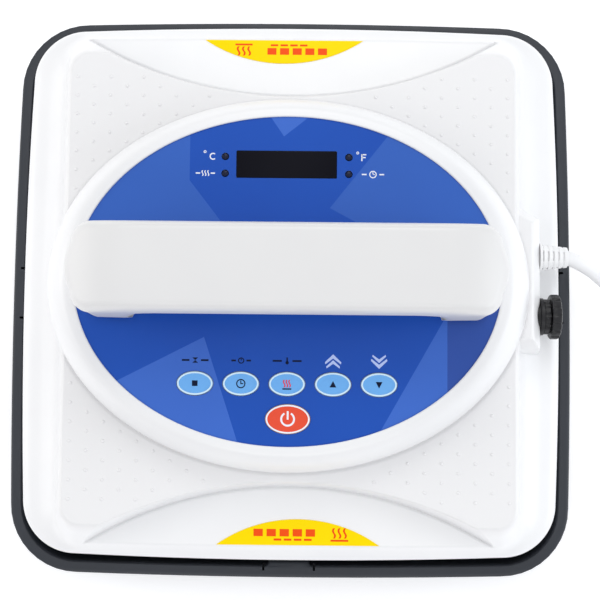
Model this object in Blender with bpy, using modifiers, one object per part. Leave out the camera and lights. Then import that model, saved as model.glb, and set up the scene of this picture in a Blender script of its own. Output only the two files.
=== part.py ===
"""Portable flat heat press with a bridge handle, resting in its safety tray.

Run with: blender --background --python part.py

The model is in metres, +Z up. The origin is the centre of the tray's footprint, on the
table. The display end of the panel is +Y, and the mains cord leaves on +X.
"""

import math

import bmesh
import bpy
from mathutils import Vector

MM = 0.001
GAP = 0.3 * MM

# Safety tray
TRAY_HALF = 140 * MM
TRAY_HEIGHT = 30 * MM
TRAY_CORNER = 33.8 * MM
TRAY_BOW = 1.5 * MM
TRAY_UNDERSIDE = 2 * MM
TRAY_FLOOR = 5 * MM
RIM_WIDTH = 5.5 * MM
TAB_WIDTH = 24 * MM
TAB_REACH = 132.5 * MM
NOTCH_WIDTH = 0.8 * MM
FOOT_RADIUS = 9 * MM
FOOT_PLACE = 112 * MM
CENTRE_PAD_RADIUS = 30 * MM
MAT_HALF = 125 * MM
MAT_THICKNESS = 2 * MM

# Heating stack
PLATE_HALF = 115 * MM
PLATE_THICKNESS = 8 * MM
PLATE_BOTTOM = TRAY_FLOOR + MAT_THICKNESS + 2 * GAP
PLATE_TOP = PLATE_BOTTOM + PLATE_THICKNESS
ELEMENT_RADIUS = 3.2 * MM
ELEMENT_PASSES = (-80 * MM, -30 * MM, 30 * MM, 80 * MM)
ELEMENT_TURN = 68 * MM
ELEMENT_END = 102 * MM
ELEMENT_HEIGHT = PLATE_TOP + GAP + ELEMENT_RADIUS
PAD_HALF = 96 * MM
PAD_BOTTOM = ELEMENT_HEIGHT + ELEMENT_RADIUS + GAP
PAD_THICKNESS = 8 * MM
SHIELD_HALF = 98 * MM
SHIELD_BOTTOM = PAD_BOTTOM + PAD_THICKNESS + GAP
SHIELD_THICKNESS = 1 * MM
SHIELD_TOP = SHIELD_BOTTOM + SHIELD_THICKNESS
CUTOUT_RADIUS = 8 * MM
STANDOFF_PLACE = 101 * MM
STANDOFF_RADIUS = 4 * MM
STANDOFF_TOP = 64 * MM

# White body
WALL = 2.5 * MM
SKIRT_BOTTOM = 20 * MM
PAD_LEVEL = 74 * MM
# Outer sections of the shell in millimetres: half widths along X and Y, corner radius,
# how far the sides bow out, how far the section is set back towards +Y, and height
SHELL_SECTIONS = (
    (129.2, 129.2, 26, 2.2, 0.8, SKIRT_BOTTOM / MM),
    (132, 131.8, 26.5, 2.2, 1.6, 40),
    (131.4, 131.4, 26, 2.2, 1.5, 43.5),
    (128.5, 130.1, 25, 2.1, 1.4, 46),
    (121, 128.1, 21, 1.7, 1.3, 48),
    (114.5, 125.6, 15, 1.2, 1.1, 51),
    (111.5, 123.2, 12, 0.8, 0.9, 55),
    (109.3, 118.4, 11, 0.5, 0.5, 63),
    (107.6, 113.6, 10, 0.3, 0.1, 71.5),
    (105.6, 111.5, 9, 0.2, 0, PAD_LEVEL / MM),
)
CREST_MIDDLE = 94 * MM
CREST_END = (93 * MM, 119 * MM)
CREST_EDGE = (122.5 * MM, 55 * MM)
CREST_INNER = 62 * MM
CREST_SLANT = 0.21
BOSS_PLACE = 111.5 * MM
BOSS_RADIUS = 4.5 * MM
BOSS_TOP = 50 * MM
FRAME_BOTTOM = 19.2 * MM
FRAME_THICKNESS = 2.4 * MM
FRAME_OUTER = 125.2 * MM
FRAME_BOW = 2 * MM
FRAME_INNER = 109 * MM

# Oval bezel and panel: half widths along X, each narrowed along Y by its ratio
OVAL_CENTRE = (-1 * MM, 0.8 * MM)
BEZEL_RATIO = 0.786
PANEL_RATIO = 0.774
BEZEL_OUTER = 112.5 * MM
BEZEL_BOTTOM = 75 * MM
BEZEL_TOP = 97 * MM
PANEL_RADIUS = 97.4 * MM
PANEL_OPENING = 92 * MM
LEDGE = 92 * MM
PANEL_THICKNESS = 3 * MM
FILM_BOTTOM = LEDGE + PANEL_THICKNESS + 2 * GAP
FILM_THICKNESS = 0.5 * MM
FILM_TOP = FILM_BOTTOM + FILM_THICKNESS
SHELL_OPENING = 99 * MM

# Display, lamps and keys: places on the panel
WINDOW_CENTRE = (-2 * MM, 53.8 * MM)
WINDOW_SIZE = (46 * MM, 12.7 * MM)
LAMP_RADIUS = 1.5 * MM
LAMP_PLACES = ((-30, 57.3), (-30, 49.5), (26.4, 57.3), (26.4, 49.5))
KEY_PITCH = 20.7 * MM
KEY_ROW = -46.2 * MM
KEY_FIRST = -42.2 * MM
KEY_RADIUS = 8.1 * MM
KEY_RATIO = 0.655
KEY_NAMES = ("key_mode", "key_timer", "key_heat", "key_up", "key_down")
POWER_KEY_CENTRE = (-0.3 * MM, -61.9 * MM)
POWER_KEY_RADIUS = 10 * MM
KEY_STEM = 2.2 * MM
KEY_TRAVEL = 0.4 * MM
KEY_THICKNESS = 0.6 * MM
BOARD_TOP = 85.6 * MM
BOARD_THICKNESS = 1.6 * MM
SWITCH_TOP = 89.3 * MM
DISPLAY_TOP = 94.6 * MM

# Handle
HANDLE_TOP = 141 * MM
HANDLE_SPLIT = 129 * MM
HANDLE_HALF = 95 * MM
HANDLE_FRONT = -17.3 * MM
HANDLE_REAR = 22 * MM
HANDLE_SHIFT = -1 * MM
GRIP_UNDERSIDE = 121 * MM
LEG_INNER = 67 * MM
LEG_OUTER = 91 * MM
HANDLE_SCREW_PLACE = 79 * MM
HANDLE_SCREW_RADIUS = 2 * MM
HANDLE_SCREW_TOP = 108 * MM

# Outlets on the right side
OUTLET_HEIGHT = 60 * MM
OUTLET_FACE = 119 * MM
CORD_Y = 16.6 * MM
CORD_RADIUS = 3.5 * MM
CORD_STEPS = 3
RELIEF_END = 133 * MM
FUSE_Y = -12 * MM
FUSE_CAP_START = 124 * MM
FUSE_CAP_END = 128.6 * MM
FUSE_CAP_RADIUS = 10.7 * MM
FUSE_RADIUS = 2.6 * MM

# Plug, lying on the table beside the tray
PLUG_PLACE = (180 * MM, -78 * MM, 10.2 * MM)
PLUG_LENGTH = 38 * MM
PLUG_RADIUS = 13 * MM
PLUG_FLATNESS = 0.76
PIN_RADIUS = 2 * MM
PIN_LENGTH = 19 * MM
PIN_SPACING = 19 * MM

WHITE = (0.9, 0.9, 0.91)
DARK = (0.07, 0.075, 0.085)


# Scene, materials and objects


def clear_scene():
    for obj in list(bpy.data.objects):
        bpy.data.objects.remove(obj, do_unlink=True)


def new_collection(name):
    collection = bpy.data.collections.new(name)
    bpy.context.scene.collection.children.link(collection)
    return collection


def material(name, color, roughness=0.4, metallic=0.0):
    made = bpy.data.materials.new(name)
    made.use_nodes = True
    made.diffuse_color = (*color, 1.0)
    shader = made.node_tree.nodes["Principled BSDF"]
    shader.inputs["Base Color"].default_value = (*color, 1.0)
    shader.inputs["Roughness"].default_value = roughness
    shader.inputs["Metallic"].default_value = metallic
    return made


def add_object(name, data, look, location=(0, 0, 0)):
    obj = bpy.data.objects.new(name, data)
    obj.location = location
    obj.data.materials.append(look)
    PARTS.objects.link(obj)
    return obj


def make_cutter(obj):
    """Moves an object to the cutters, which aren't part of the model."""
    PARTS.objects.unlink(obj)
    CUTTERS.objects.link(obj)
    obj.hide_render = True
    obj.display_type = "WIRE"
    return obj


def boolean(obj, other, operation="DIFFERENCE"):
    modifier = obj.modifiers.new(other.name, "BOOLEAN")
    modifier.operation = operation
    modifier.object = other
    return obj


def smooth(obj, degrees=35):
    obj.data.shade_smooth()
    obj.data.set_sharp_from_angle(angle=math.radians(degrees))
    return obj


# Outlines


def circle(radius, ratio=1.0, centre=(0, 0), count=48):
    """A circle of this radius, narrowed along Y by ratio."""
    turns = [2 * math.pi * i / count for i in range(count)]
    return [
        (centre[0] + radius * math.cos(t), centre[1] + radius * ratio * math.sin(t))
        for t in turns
    ]


def fillet(corners, radii, steps=4):
    """A closed outline through these corners, each rounded to its radius."""
    outline = []
    for i, corner in enumerate(corners):
        here = Vector(corner)
        before = (Vector(corners[i - 1]) - here).normalized()
        after = (Vector(corners[(i + 1) % len(corners)]) - here).normalized()
        radius = radii[i] if isinstance(radii, (list, tuple)) else radii
        if not radius:
            outline.append(tuple(here))
            continue
        half = before.angle(after) / 2
        centre = here + (before + after).normalized() * radius / math.sin(half)
        start = here + before * radius / math.tan(half) - centre
        sweep = start.angle_signed(here + after * radius / math.tan(half) - centre)
        for step in range(steps + 1):
            turn = -sweep * step / steps
            x = start.x * math.cos(turn) - start.y * math.sin(turn)
            y = start.x * math.sin(turn) + start.y * math.cos(turn)
            outline.append((centre.x + x, centre.y + y))
    return outline


def rounded_rectangle(half_x, half_y, radius, centre=(0, 0), steps=4):
    x, y = centre
    corners = (
        (x + half_x, y - half_y),
        (x + half_x, y + half_y),
        (x - half_x, y + half_y),
        (x - half_x, y - half_y),
    )
    return fillet(corners, radius, steps)


def bowed_rectangle(half_x, half_y, radius, bow, shift=0, side_points=3, steps=5):
    """A rounded rectangle whose sides bow out by bow, set back along Y by shift."""
    outline = []
    for quarter in range(4):
        angle = math.pi / 2 * quarter
        along = Vector((-math.sin(angle), math.cos(angle)))
        out = Vector((math.cos(angle), math.sin(angle)))
        reach, width = (half_y, half_x) if quarter % 2 else (half_x, half_y)
        straight = width - bow - radius
        for i in range(side_points):
            share = 2 * (i + 1) / (side_points + 1) - 1
            height = reach - bow * share**2
            outline.append(out * height + along * straight * share)
        centre = out * (reach - bow - radius) + along * straight
        for step in range(steps + 1):
            turn = angle + math.pi / 2 * step / steps
            edge = Vector((math.cos(turn), math.sin(turn))) * radius
            outline.append(centre + edge)
    return [(x, y + shift) for x, y in outline]


def at_height(outline, height):
    return [(x, y, height) for x, y in outline]


# Solids


def loft(name, rings, look):
    """A closed solid through rings that have the same number of points."""
    bm = bmesh.new()
    rows = [[bm.verts.new(point) for point in ring] for ring in rings]
    for low, high in zip(rows, rows[1:]):
        for i in range(len(low)):
            j = (i + 1) % len(low)
            bm.faces.new((low[i], low[j], high[j], high[i]))
    bm.faces.new(rows[0][::-1])
    bm.faces.new(rows[-1])
    bmesh.ops.recalc_face_normals(bm, faces=bm.faces)
    mesh = bpy.data.meshes.new(name)
    bm.to_mesh(mesh)
    bm.free()
    return add_object(name, mesh, look)


def box(name, low, high, look):
    bm = bmesh.new()
    bmesh.ops.create_cube(bm, size=1.0)
    size = [b - a for a, b in zip(low, high)]
    bmesh.ops.scale(bm, vec=size, verts=bm.verts)
    mesh = bpy.data.meshes.new(name)
    bm.to_mesh(mesh)
    bm.free()
    centre = [(a + b) / 2 for a, b in zip(low, high)]
    return add_object(name, mesh, look, centre)


def cylinder(name, radius, low, high, place, look, ratio=1.0, count=24, top=None):
    """An upright cylinder, or a cone when top gives another radius for its upper end."""
    bm = bmesh.new()
    bmesh.ops.create_cone(
        bm,
        cap_ends=True,
        segments=count,
        radius1=radius,
        radius2=radius if top is None else top,
        depth=high - low,
    )
    bmesh.ops.scale(bm, vec=(1, ratio, 1), verts=bm.verts)
    mesh = bpy.data.meshes.new(name)
    bm.to_mesh(mesh)
    bm.free()
    obj = add_object(name, mesh, look, (place[0], place[1], (low + high) / 2))
    return smooth(obj)


def plate(name, outlines, low, high, look, edge=0.0):
    """A flat piece with holes, from its outline and the outlines of its holes."""
    curve = bpy.data.curves.new(name, "CURVE")
    curve.dimensions = "2D"
    curve.fill_mode = "BOTH"
    curve.extrude = (high - low) / 2 - edge
    curve.bevel_depth = edge
    curve.bevel_resolution = 1
    curve.offset = -edge
    for outline in outlines:
        spline = curve.splines.new("POLY")
        spline.points.add(len(outline) - 1)
        for point, (x, y) in zip(spline.points, outline):
            point.co = (x, y, 0, 1)
        spline.use_cyclic_u = True
    return add_object(name, curve, look, (0, 0, (low + high) / 2))


def tube(name, path, radius, look, resolution=2):
    curve = bpy.data.curves.new(name, "CURVE")
    curve.dimensions = "3D"
    curve.bevel_depth = radius
    curve.bevel_resolution = resolution
    curve.use_fill_caps = True
    spline = curve.splines.new("POLY")
    spline.points.add(len(path) - 1)
    for point, place in zip(spline.points, path):
        point.co = (*place, 1)
    return add_object(name, curve, look)


def to_mesh(obj):
    """Swaps a curve object for a mesh of the same name, so that it can be cut."""
    bpy.context.view_layer.update()
    graph = bpy.context.evaluated_depsgraph_get()
    mesh = bpy.data.meshes.new_from_object(obj.evaluated_get(graph))
    bm = bmesh.new()
    bm.from_mesh(mesh)
    bmesh.ops.remove_doubles(bm, verts=bm.verts, dist=0.00001)
    bmesh.ops.recalc_face_normals(bm, faces=bm.faces)
    bm.to_mesh(mesh)
    bm.free()
    name, place = obj.name, obj.matrix_world.copy()
    bpy.data.objects.remove(obj, do_unlink=True)
    solid = bpy.data.objects.new(name, mesh)
    solid.matrix_world = place
    PARTS.objects.link(solid)
    return solid


def turned(name, profile, place, look, steps=24, closed=False):
    """A solid turned about local Z from (radius, height) points, top to bottom."""
    bm = bmesh.new()
    row = [bm.verts.new((radius, 0, height)) for radius, height in profile]
    for first, second in zip(row, row[1:] + row[:1] if closed else row[1:]):
        bm.edges.new((first, second))
    mesh = bpy.data.meshes.new(name)
    bm.to_mesh(mesh)
    bm.free()
    obj = add_object(name, mesh, look, place)
    screw = obj.modifiers.new("turn", "SCREW")
    screw.steps = steps
    screw.render_steps = steps
    screw.use_merge_vertices = True
    screw.merge_threshold = 0.00001
    screw.use_smooth_shade = True
    return obj


# Safety tray


def make_tray():
    look = material("tray_plastic", DARK, 0.45)
    inside = TRAY_HALF - RIM_WIDTH
    edge = 0.7 * MM
    inner_corner = TRAY_CORNER - RIM_WIDTH
    sections = (
        (TRAY_HALF - 4 * MM, TRAY_CORNER - 4 * MM, TRAY_UNDERSIDE),
        (TRAY_HALF - 2.6 * MM, TRAY_CORNER - 2.6 * MM, TRAY_UNDERSIDE + 2 * MM),
        (TRAY_HALF, TRAY_CORNER, TRAY_HEIGHT - edge),
        (TRAY_HALF - edge, TRAY_CORNER - edge, TRAY_HEIGHT),
        (inside + edge, inner_corner + edge, TRAY_HEIGHT),
        (inside, inner_corner, TRAY_HEIGHT - edge),
        (inside - 1 * MM, inner_corner - 1 * MM, TRAY_FLOOR),
    )
    rings = [at_height(bowed_rectangle(h, h, r, TRAY_BOW), z) for h, r, z in sections]
    tray = loft("base_tray", rings, look)
    pad = cylinder(
        "centre_pad", CENTRE_PAD_RADIUS, 0, TRAY_UNDERSIDE + 1 * MM, (0, 0), look
    )
    boolean(tray, make_cutter(pad), "UNION")
    for turn in range(4):
        out = Vector((math.cos(turn * math.pi / 2), math.sin(turn * math.pi / 2)))
        along = Vector((-out.y, out.x))
        add_tab(tray, out, along, turn, look)
    for obj_name, x, y in corner_places("tray_foot", FOOT_PLACE):
        foot_look = material(obj_name, (0.03, 0.03, 0.03), 0.8)
        top = TRAY_UNDERSIDE - GAP
        cylinder(obj_name, FOOT_RADIUS, 0, top, (x, y), foot_look)
    mat = rounded_rectangle(MAT_HALF, MAT_HALF, 22 * MM)
    mat_look = material("base_mat", (0.25, 0.25, 0.26), 0.85)
    low = TRAY_FLOOR + GAP
    plate("base_mat", [mat], low, low + MAT_THICKNESS, mat_look)


def add_tab(tray, out, along, turn, look):
    """A centring tab inside the middle of one side, with a notch at each of its ends."""
    low, high = 14 * MM, TRAY_HEIGHT - 0.4 * MM
    wall = TRAY_HALF - RIM_WIDTH + 2 * MM

    def block(name, near, far, first, last, bottom, top):
        ends = [out * near + along * first, out * far + along * last]
        least = [min(a, b) for a, b in zip(*ends)]
        most = [max(a, b) for a, b in zip(*ends)]
        return make_cutter(box(name, (*least, bottom), (*most, top), look))

    half = TAB_WIDTH / 2
    tab = block(f"tab_{turn}", TAB_REACH, wall, -half, half, low, high)
    boolean(tray, tab, "UNION")
    for side in (-1, 1):
        middle = side * (half + NOTCH_WIDTH / 2)
        first, last = middle - NOTCH_WIDTH / 2, middle + NOTCH_WIDTH / 2
        top = TRAY_HEIGHT + 1 * MM
        name = f"notch_{turn}_{(side + 1) // 2}"
        boolean(tray, block(name, TAB_REACH, wall, first, last, 22 * MM, top))


def corner_places(name, distance):
    """A numbered name and a place for each of the four corners."""
    signs = ((1, 1), (-1, 1), (-1, -1), (1, -1))
    return [
        (f"{name}_{i + 1}", x * distance, y * distance) for i, (x, y) in enumerate(signs)
    ]


# Heating stack


def make_heating_stack():
    plate_look = material("heat_plate", (0.12, 0.12, 0.13), 0.3, 0.6)
    outline = rounded_rectangle(PLATE_HALF, PLATE_HALF, 14 * MM, steps=6)
    plate("heat_plate", [outline], PLATE_BOTTOM, PLATE_TOP, plate_look, edge=1 * MM)
    element_look = material("heating_element", (0.5, 0.47, 0.43), 0.4, 0.9)
    tube("heating_element", element_path(), ELEMENT_RADIUS, element_look)
    pad_look = material("insulation_pad", (0.85, 0.83, 0.76), 0.95)
    pad = [
        rounded_rectangle(PAD_HALF, PAD_HALF, 10 * MM),
        rounded_rectangle(16 * MM, 16 * MM, 2 * MM),
    ]
    plate("insulation_pad", pad, PAD_BOTTOM, PAD_BOTTOM + PAD_THICKNESS, pad_look)
    shield_look = material("heat_shield", (0.7, 0.71, 0.72), 0.35, 1.0)
    shield = rounded_rectangle(SHIELD_HALF, SHIELD_HALF, 10 * MM)
    plate("heat_shield", [shield], SHIELD_BOTTOM, SHIELD_TOP, shield_look)
    low = PLATE_TOP + GAP
    for name, x, y in corner_places("standoff", STANDOFF_PLACE):
        steel = material(name, (0.62, 0.62, 0.63), 0.3, 1.0)
        cylinder(name, STANDOFF_RADIUS, low, STANDOFF_TOP, (x, y), steel, count=12)
    cut_look = material("thermal_cutout", (0.75, 0.74, 0.7), 0.4, 0.5)
    profile = (
        (0, 11 * MM),
        (5 * MM, 11 * MM),
        (5 * MM, 7 * MM),
        (CUTOUT_RADIUS, 7 * MM),
        (CUTOUT_RADIUS, 0),
        (0, 0),
    )
    turned("thermal_cutout", profile, (0, 0, low), cut_look)
    probe_look = material("temperature_probe", (0.6, 0.6, 0.6), 0.3, 1.0)
    radius = 2 * MM
    height = low + radius
    path = [(0, y * MM, height) for y in (-34, -44, -54)]
    tube("temperature_probe", path, radius, probe_look)
    for name, side in (("element_lead_1", -1), ("element_lead_2", 1)):
        lead_look = material(name, (0.8, 0.75, 0.65), 0.6)
        tube(name, lead_path(side), 1.2 * MM, lead_look, resolution=1)


def element_path():
    """A tube that runs up and down the plate in four passes joined by half turns."""
    path = [(ELEMENT_PASSES[0], -ELEMENT_END)]
    for i, (start, end) in enumerate(zip(ELEMENT_PASSES, ELEMENT_PASSES[1:])):
        side = 1 if i % 2 == 0 else -1
        radius = (end - start) / 2
        for step in range(7):
            turn = math.pi * (1 - step / 6)
            x = start + radius + radius * math.cos(turn)
            path.append((x, side * (ELEMENT_TURN + radius * math.sin(turn))))
    path.append((ELEMENT_PASSES[-1], -ELEMENT_END))
    return [(x, y, ELEMENT_HEIGHT) for x, y in path]


def lead_path(side):
    """From an end of the element, up past the shield and over to the terminal block."""
    x = side * ELEMENT_PASSES[-1]
    y = -ELEMENT_END - 2.2 * MM
    return [
        (x, y, ELEMENT_HEIGHT),
        (x, y, SHIELD_TOP + 4 * MM),
        (x, y + 6 * MM, SHIELD_TOP + 9 * MM),
        (side * 30 * MM, -62 * MM, SHIELD_TOP + 15 * MM),
        (side * 7 * MM, -46.6 * MM, SHIELD_TOP + 17.8 * MM),
    ]


# White body


def crest_height(y):
    """Height of the crescent's sloping floor at this distance from the middle."""
    edge_y, edge_z = CREST_EDGE
    return edge_z + (CREST_INNER - edge_z) * (edge_y - y) / (edge_y - CREST_MIDDLE)


def crescent_cutter(name, side, grow, look):
    """What is taken away above the crescent's floor, grown by a wall for the cavity."""
    end_x, end_y = CREST_END
    rise = end_y - CREST_MIDDLE
    radius = (end_x**2 + rise**2) / (2 * rise)
    reach = 103 * MM
    top = 90 * MM
    count = 16
    low, high = [], []
    for i in range(count + 1):
        x = reach * (1 - 2 * i / count)
        y = CREST_MIDDLE + radius - math.sqrt(radius**2 - x**2) - grow
        z = crest_height(y + grow) - grow
        low.append((x, side * y, z))
        high.append((x, side * (y - CREST_SLANT * (top - z)), top))
    far = 150 * MM
    for x in (-reach, reach):
        low.append((x, side * far, crest_height(far + grow) - grow))
        high.append((x, side * far, top))
    return make_cutter(loft(name, [low, high], look))


def shell_solid(name, inset, look):
    rings = []
    for section in SHELL_SECTIONS:
        half_x, half_y, radius, bow, shift, height = (size * MM for size in section)
        corner = max(radius - inset, 4 * MM)
        ring = bowed_rectangle(
            half_x - inset, half_y - inset, corner, bow, shift, steps=4
        )
        z = height - inset if inset and height > 46 * MM else height
        rings.append(at_height(ring, z))
    if inset:
        rings[0] = [(x, y, SKIRT_BOTTOM - 5 * MM) for x, y, z in rings[0]]
    return loft(name, rings, look)


def outlet_block(name, inset, look):
    """The block that the cord and the fuse holder leave from, or its hollow."""
    face, start = OUTLET_FACE - inset, 100 * MM
    corners = (
        (start, -25 * MM + inset),
        (face, -25 * MM + inset),
        (face, 33.5 * MM - inset),
        (face - 10 * MM, 40 * MM - inset),
        (start, 40 * MM - inset),
    )
    low = 45 * MM if not inset else 52 * MM
    outline = fillet(corners, (0, 2 * MM, 2 * MM, 2 * MM, 0), 2)
    solid = plate(name, [outline], low, 71.5 * MM - inset, look)
    return make_cutter(to_mesh(solid))


def make_shell():
    look = material("white_plastic", WHITE, 0.25)
    shell = shell_solid("upper_shell", 0, look)
    cavity = make_cutter(shell_solid("cavity", WALL, look))
    for side, end in ((-1, "front"), (1, "rear")):
        boolean(shell, crescent_cutter(f"crescent_{end}", side, 0, look))
        boolean(cavity, crescent_cutter(f"hollow_{end}", side, WALL, look))
    pedestal = cylinder(
        "pedestal",
        BEZEL_OUTER + 4 * MM,
        50 * MM,
        BEZEL_BOTTOM - GAP,
        OVAL_CENTRE,
        look,
        ratio=BEZEL_RATIO,
        count=48,
        top=BEZEL_OUTER,
    )
    boolean(shell, make_cutter(pedestal), "UNION")
    boolean(shell, outlet_block("outlet_block", 0, look), "UNION")
    boolean(cavity, outlet_block("outlet_hollow", WALL, look), "UNION")
    boolean(shell, cavity)
    opening = cylinder(
        "panel_opening",
        SHELL_OPENING,
        60 * MM,
        80 * MM,
        OVAL_CENTRE,
        look,
        ratio=BEZEL_RATIO,
        count=48,
    )
    boolean(shell, make_cutter(opening))
    for name, x, y in corner_places("boss", BOSS_PLACE):
        low = FRAME_BOTTOM + FRAME_THICKNESS + GAP
        boss = cylinder(name, BOSS_RADIUS, low, BOSS_TOP, (x, y), look, count=10)
        boolean(shell, make_cutter(boss), "UNION")
        bore = cylinder(
            f"{name}_bore", 1.9 * MM, low - 1 * MM, 38 * MM, (x, y), look, count=10
        )
        boolean(shell, make_cutter(bore))
    for name, y, radius in (("cord_hole", CORD_Y, 6.1), ("fuse_hole", FUSE_Y, 7.8)):
        profile = ((0, 8 * MM), (radius * MM, 8 * MM), (radius * MM, 0), (0, 0))
        place = (OUTLET_FACE - 6 * MM, y, OUTLET_HEIGHT)
        hole = turned(name, profile, place, look)
        hole.rotation_euler.y = math.pi / 2
        boolean(shell, make_cutter(hole))
    smooth(shell, 30)


def make_bottom_frame():
    look = material("bottom_frame", (0.16, 0.165, 0.18), 0.5)
    outlines = [
        bowed_rectangle(FRAME_OUTER, FRAME_OUTER, 24 * MM, FRAME_BOW, steps=6),
        rounded_rectangle(FRAME_INNER, FRAME_INNER, 12 * MM),
    ]
    places = corner_places("frame_screw", BOSS_PLACE)
    outlines += [circle(1.9 * MM, 1, (x, y), 12) for _, x, y in places]
    top = FRAME_BOTTOM + FRAME_THICKNESS
    plate("bottom_frame", outlines, FRAME_BOTTOM, top, look)
    for name, x, y in places:
        steel = material(name, (0.6, 0.6, 0.6), 0.35, 1.0)
        screw(name, (x, y, FRAME_BOTTOM - GAP), 3 * MM, 1.5 * MM, 17 * MM, steel)


def screw(name, place, head_radius, radius, length, look):
    """A pan-head screw that points up, with the underside of its head at place."""
    head = 1.7 * MM
    profile = (
        (0, length),
        (radius, length - 0.5 * MM),
        (radius, 0),
        (head_radius, 0),
        (head_radius, -head + 0.6 * MM),
        (head_radius - 0.8 * MM, -head),
        (0, -head),
    )
    turned(name, profile, place, look, steps=12)


# Bezel and panel


def make_bezel():
    look = material("bezel_ring", WHITE, 0.22)
    profile = (
        (PANEL_RADIUS + 0.6 * MM, BEZEL_TOP),
        (101.5 * MM, BEZEL_TOP - 0.2 * MM),
        (105.2 * MM, 94.6 * MM),
        (108.6 * MM, 90 * MM),
        (111 * MM, 83.5 * MM),
        (BEZEL_OUTER, BEZEL_BOTTOM),
        (BEZEL_OUTER - WALL, BEZEL_BOTTOM),
        (108.6 * MM, 82.5 * MM),
        (106 * MM, 88 * MM),
        (103.3 * MM, LEDGE - 2.4 * MM),
        (PANEL_OPENING, LEDGE - 2.4 * MM),
        (PANEL_OPENING, LEDGE),
        (PANEL_RADIUS, LEDGE),
        (PANEL_RADIUS, BEZEL_TOP - 0.5 * MM),
    )
    place = (*OVAL_CENTRE, 0)
    bezel = to_mesh(turned("bezel_ring", profile, place, look, steps=48, closed=True))
    for vertex in bezel.data.vertices:
        reach = math.hypot(vertex.co.x, vertex.co.y) - PANEL_RADIUS
        share = max(reach, 0) / (BEZEL_OUTER - PANEL_RADIUS)
        vertex.co.y *= PANEL_RATIO + (BEZEL_RATIO - PANEL_RATIO) * share
    smooth(bezel)


def key_places():
    """The name, centre and radius of each key."""
    keys = [
        (name, (KEY_FIRST + i * KEY_PITCH, KEY_ROW), KEY_RADIUS)
        for i, name in enumerate(KEY_NAMES)
    ]
    return keys + [("key_power", POWER_KEY_CENTRE, POWER_KEY_RADIUS)]


def lamp_places():
    return [
        (f"indicator_{i + 1}", (x * MM, y * MM)) for i, (x, y) in enumerate(LAMP_PLACES)
    ]


def screw_holes(radius):
    centre_y = (HANDLE_FRONT + HANDLE_REAR) / 2
    return [
        circle(radius, 1, (HANDLE_SHIFT + side * HANDLE_SCREW_PLACE, centre_y), 12)
        for side in (-1, 1)
    ]


def make_panel():
    base_look = material("panel_plate", (0.8, 0.8, 0.81), 0.5)
    half_x, half_y = WINDOW_SIZE[0] / 2, WINDOW_SIZE[1] / 2
    clearance = 0.35 * MM
    lamps = [circle(LAMP_RADIUS + GAP, 1, c, 10) for _, c in lamp_places()]
    outlines = [circle(PANEL_RADIUS - GAP, PANEL_RATIO, OVAL_CENTRE)]
    outlines += [circle(KEY_STEM + 0.6 * MM, 1, c, 12) for _, c, _ in key_places()]
    outlines += lamps + screw_holes(HANDLE_SCREW_RADIUS + clearance)
    outlines.append(rounded_rectangle(half_x, half_y, 0.5 * MM, WINDOW_CENTRE, 1))
    low = LEDGE + GAP
    plate("panel_plate", outlines, low, low + PANEL_THICKNESS, base_look)
    film_look = material("panel_film", (0.02, 0.1, 0.5), 0.3)
    outlines = [circle(PANEL_RADIUS - GAP, PANEL_RATIO, OVAL_CENTRE)]
    outlines += [
        circle(radius + GAP, (radius * KEY_RATIO + GAP) / (radius + GAP), centre, 20)
        for _, centre, radius in key_places()
    ]
    outlines += lamps + screw_holes(HANDLE_SCREW_RADIUS + clearance)
    outlines.append(
        rounded_rectangle(half_x + GAP, half_y + GAP, 0.5 * MM, WINDOW_CENTRE, 1)
    )
    plate("panel_film", outlines, FILM_BOTTOM, FILM_TOP, film_look)
    glass = material("display_window", (0.01, 0.01, 0.015), 0.1)
    pane = rounded_rectangle(half_x, half_y, 0.5 * MM, WINDOW_CENTRE, 1)
    plate("display_window", [pane], FILM_BOTTOM, FILM_TOP - 0.05 * MM, glass)


def make_keys():
    for name, centre, radius in key_places():
        color = (0.8, 0.04, 0.02) if name == "key_power" else (0.15, 0.45, 0.85)
        top = FILM_TOP + KEY_TRAVEL
        bottom = top - KEY_THICKNESS
        edge = 0.25 * MM
        profile = (
            (0, top),
            (radius - 1.2 * MM, top),
            (radius, top - edge),
            (radius, bottom),
            (KEY_STEM, bottom),
            (KEY_STEM, SWITCH_TOP + KEY_TRAVEL + GAP),
            (0, SWITCH_TOP + KEY_TRAVEL + GAP),
        )
        lowered = [(r, z - top) for r, z in profile]
        place = (*centre, top)
        key = turned(name, lowered, place, material(name, color, 0.35), steps=20)
        key.scale.y = KEY_RATIO


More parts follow.
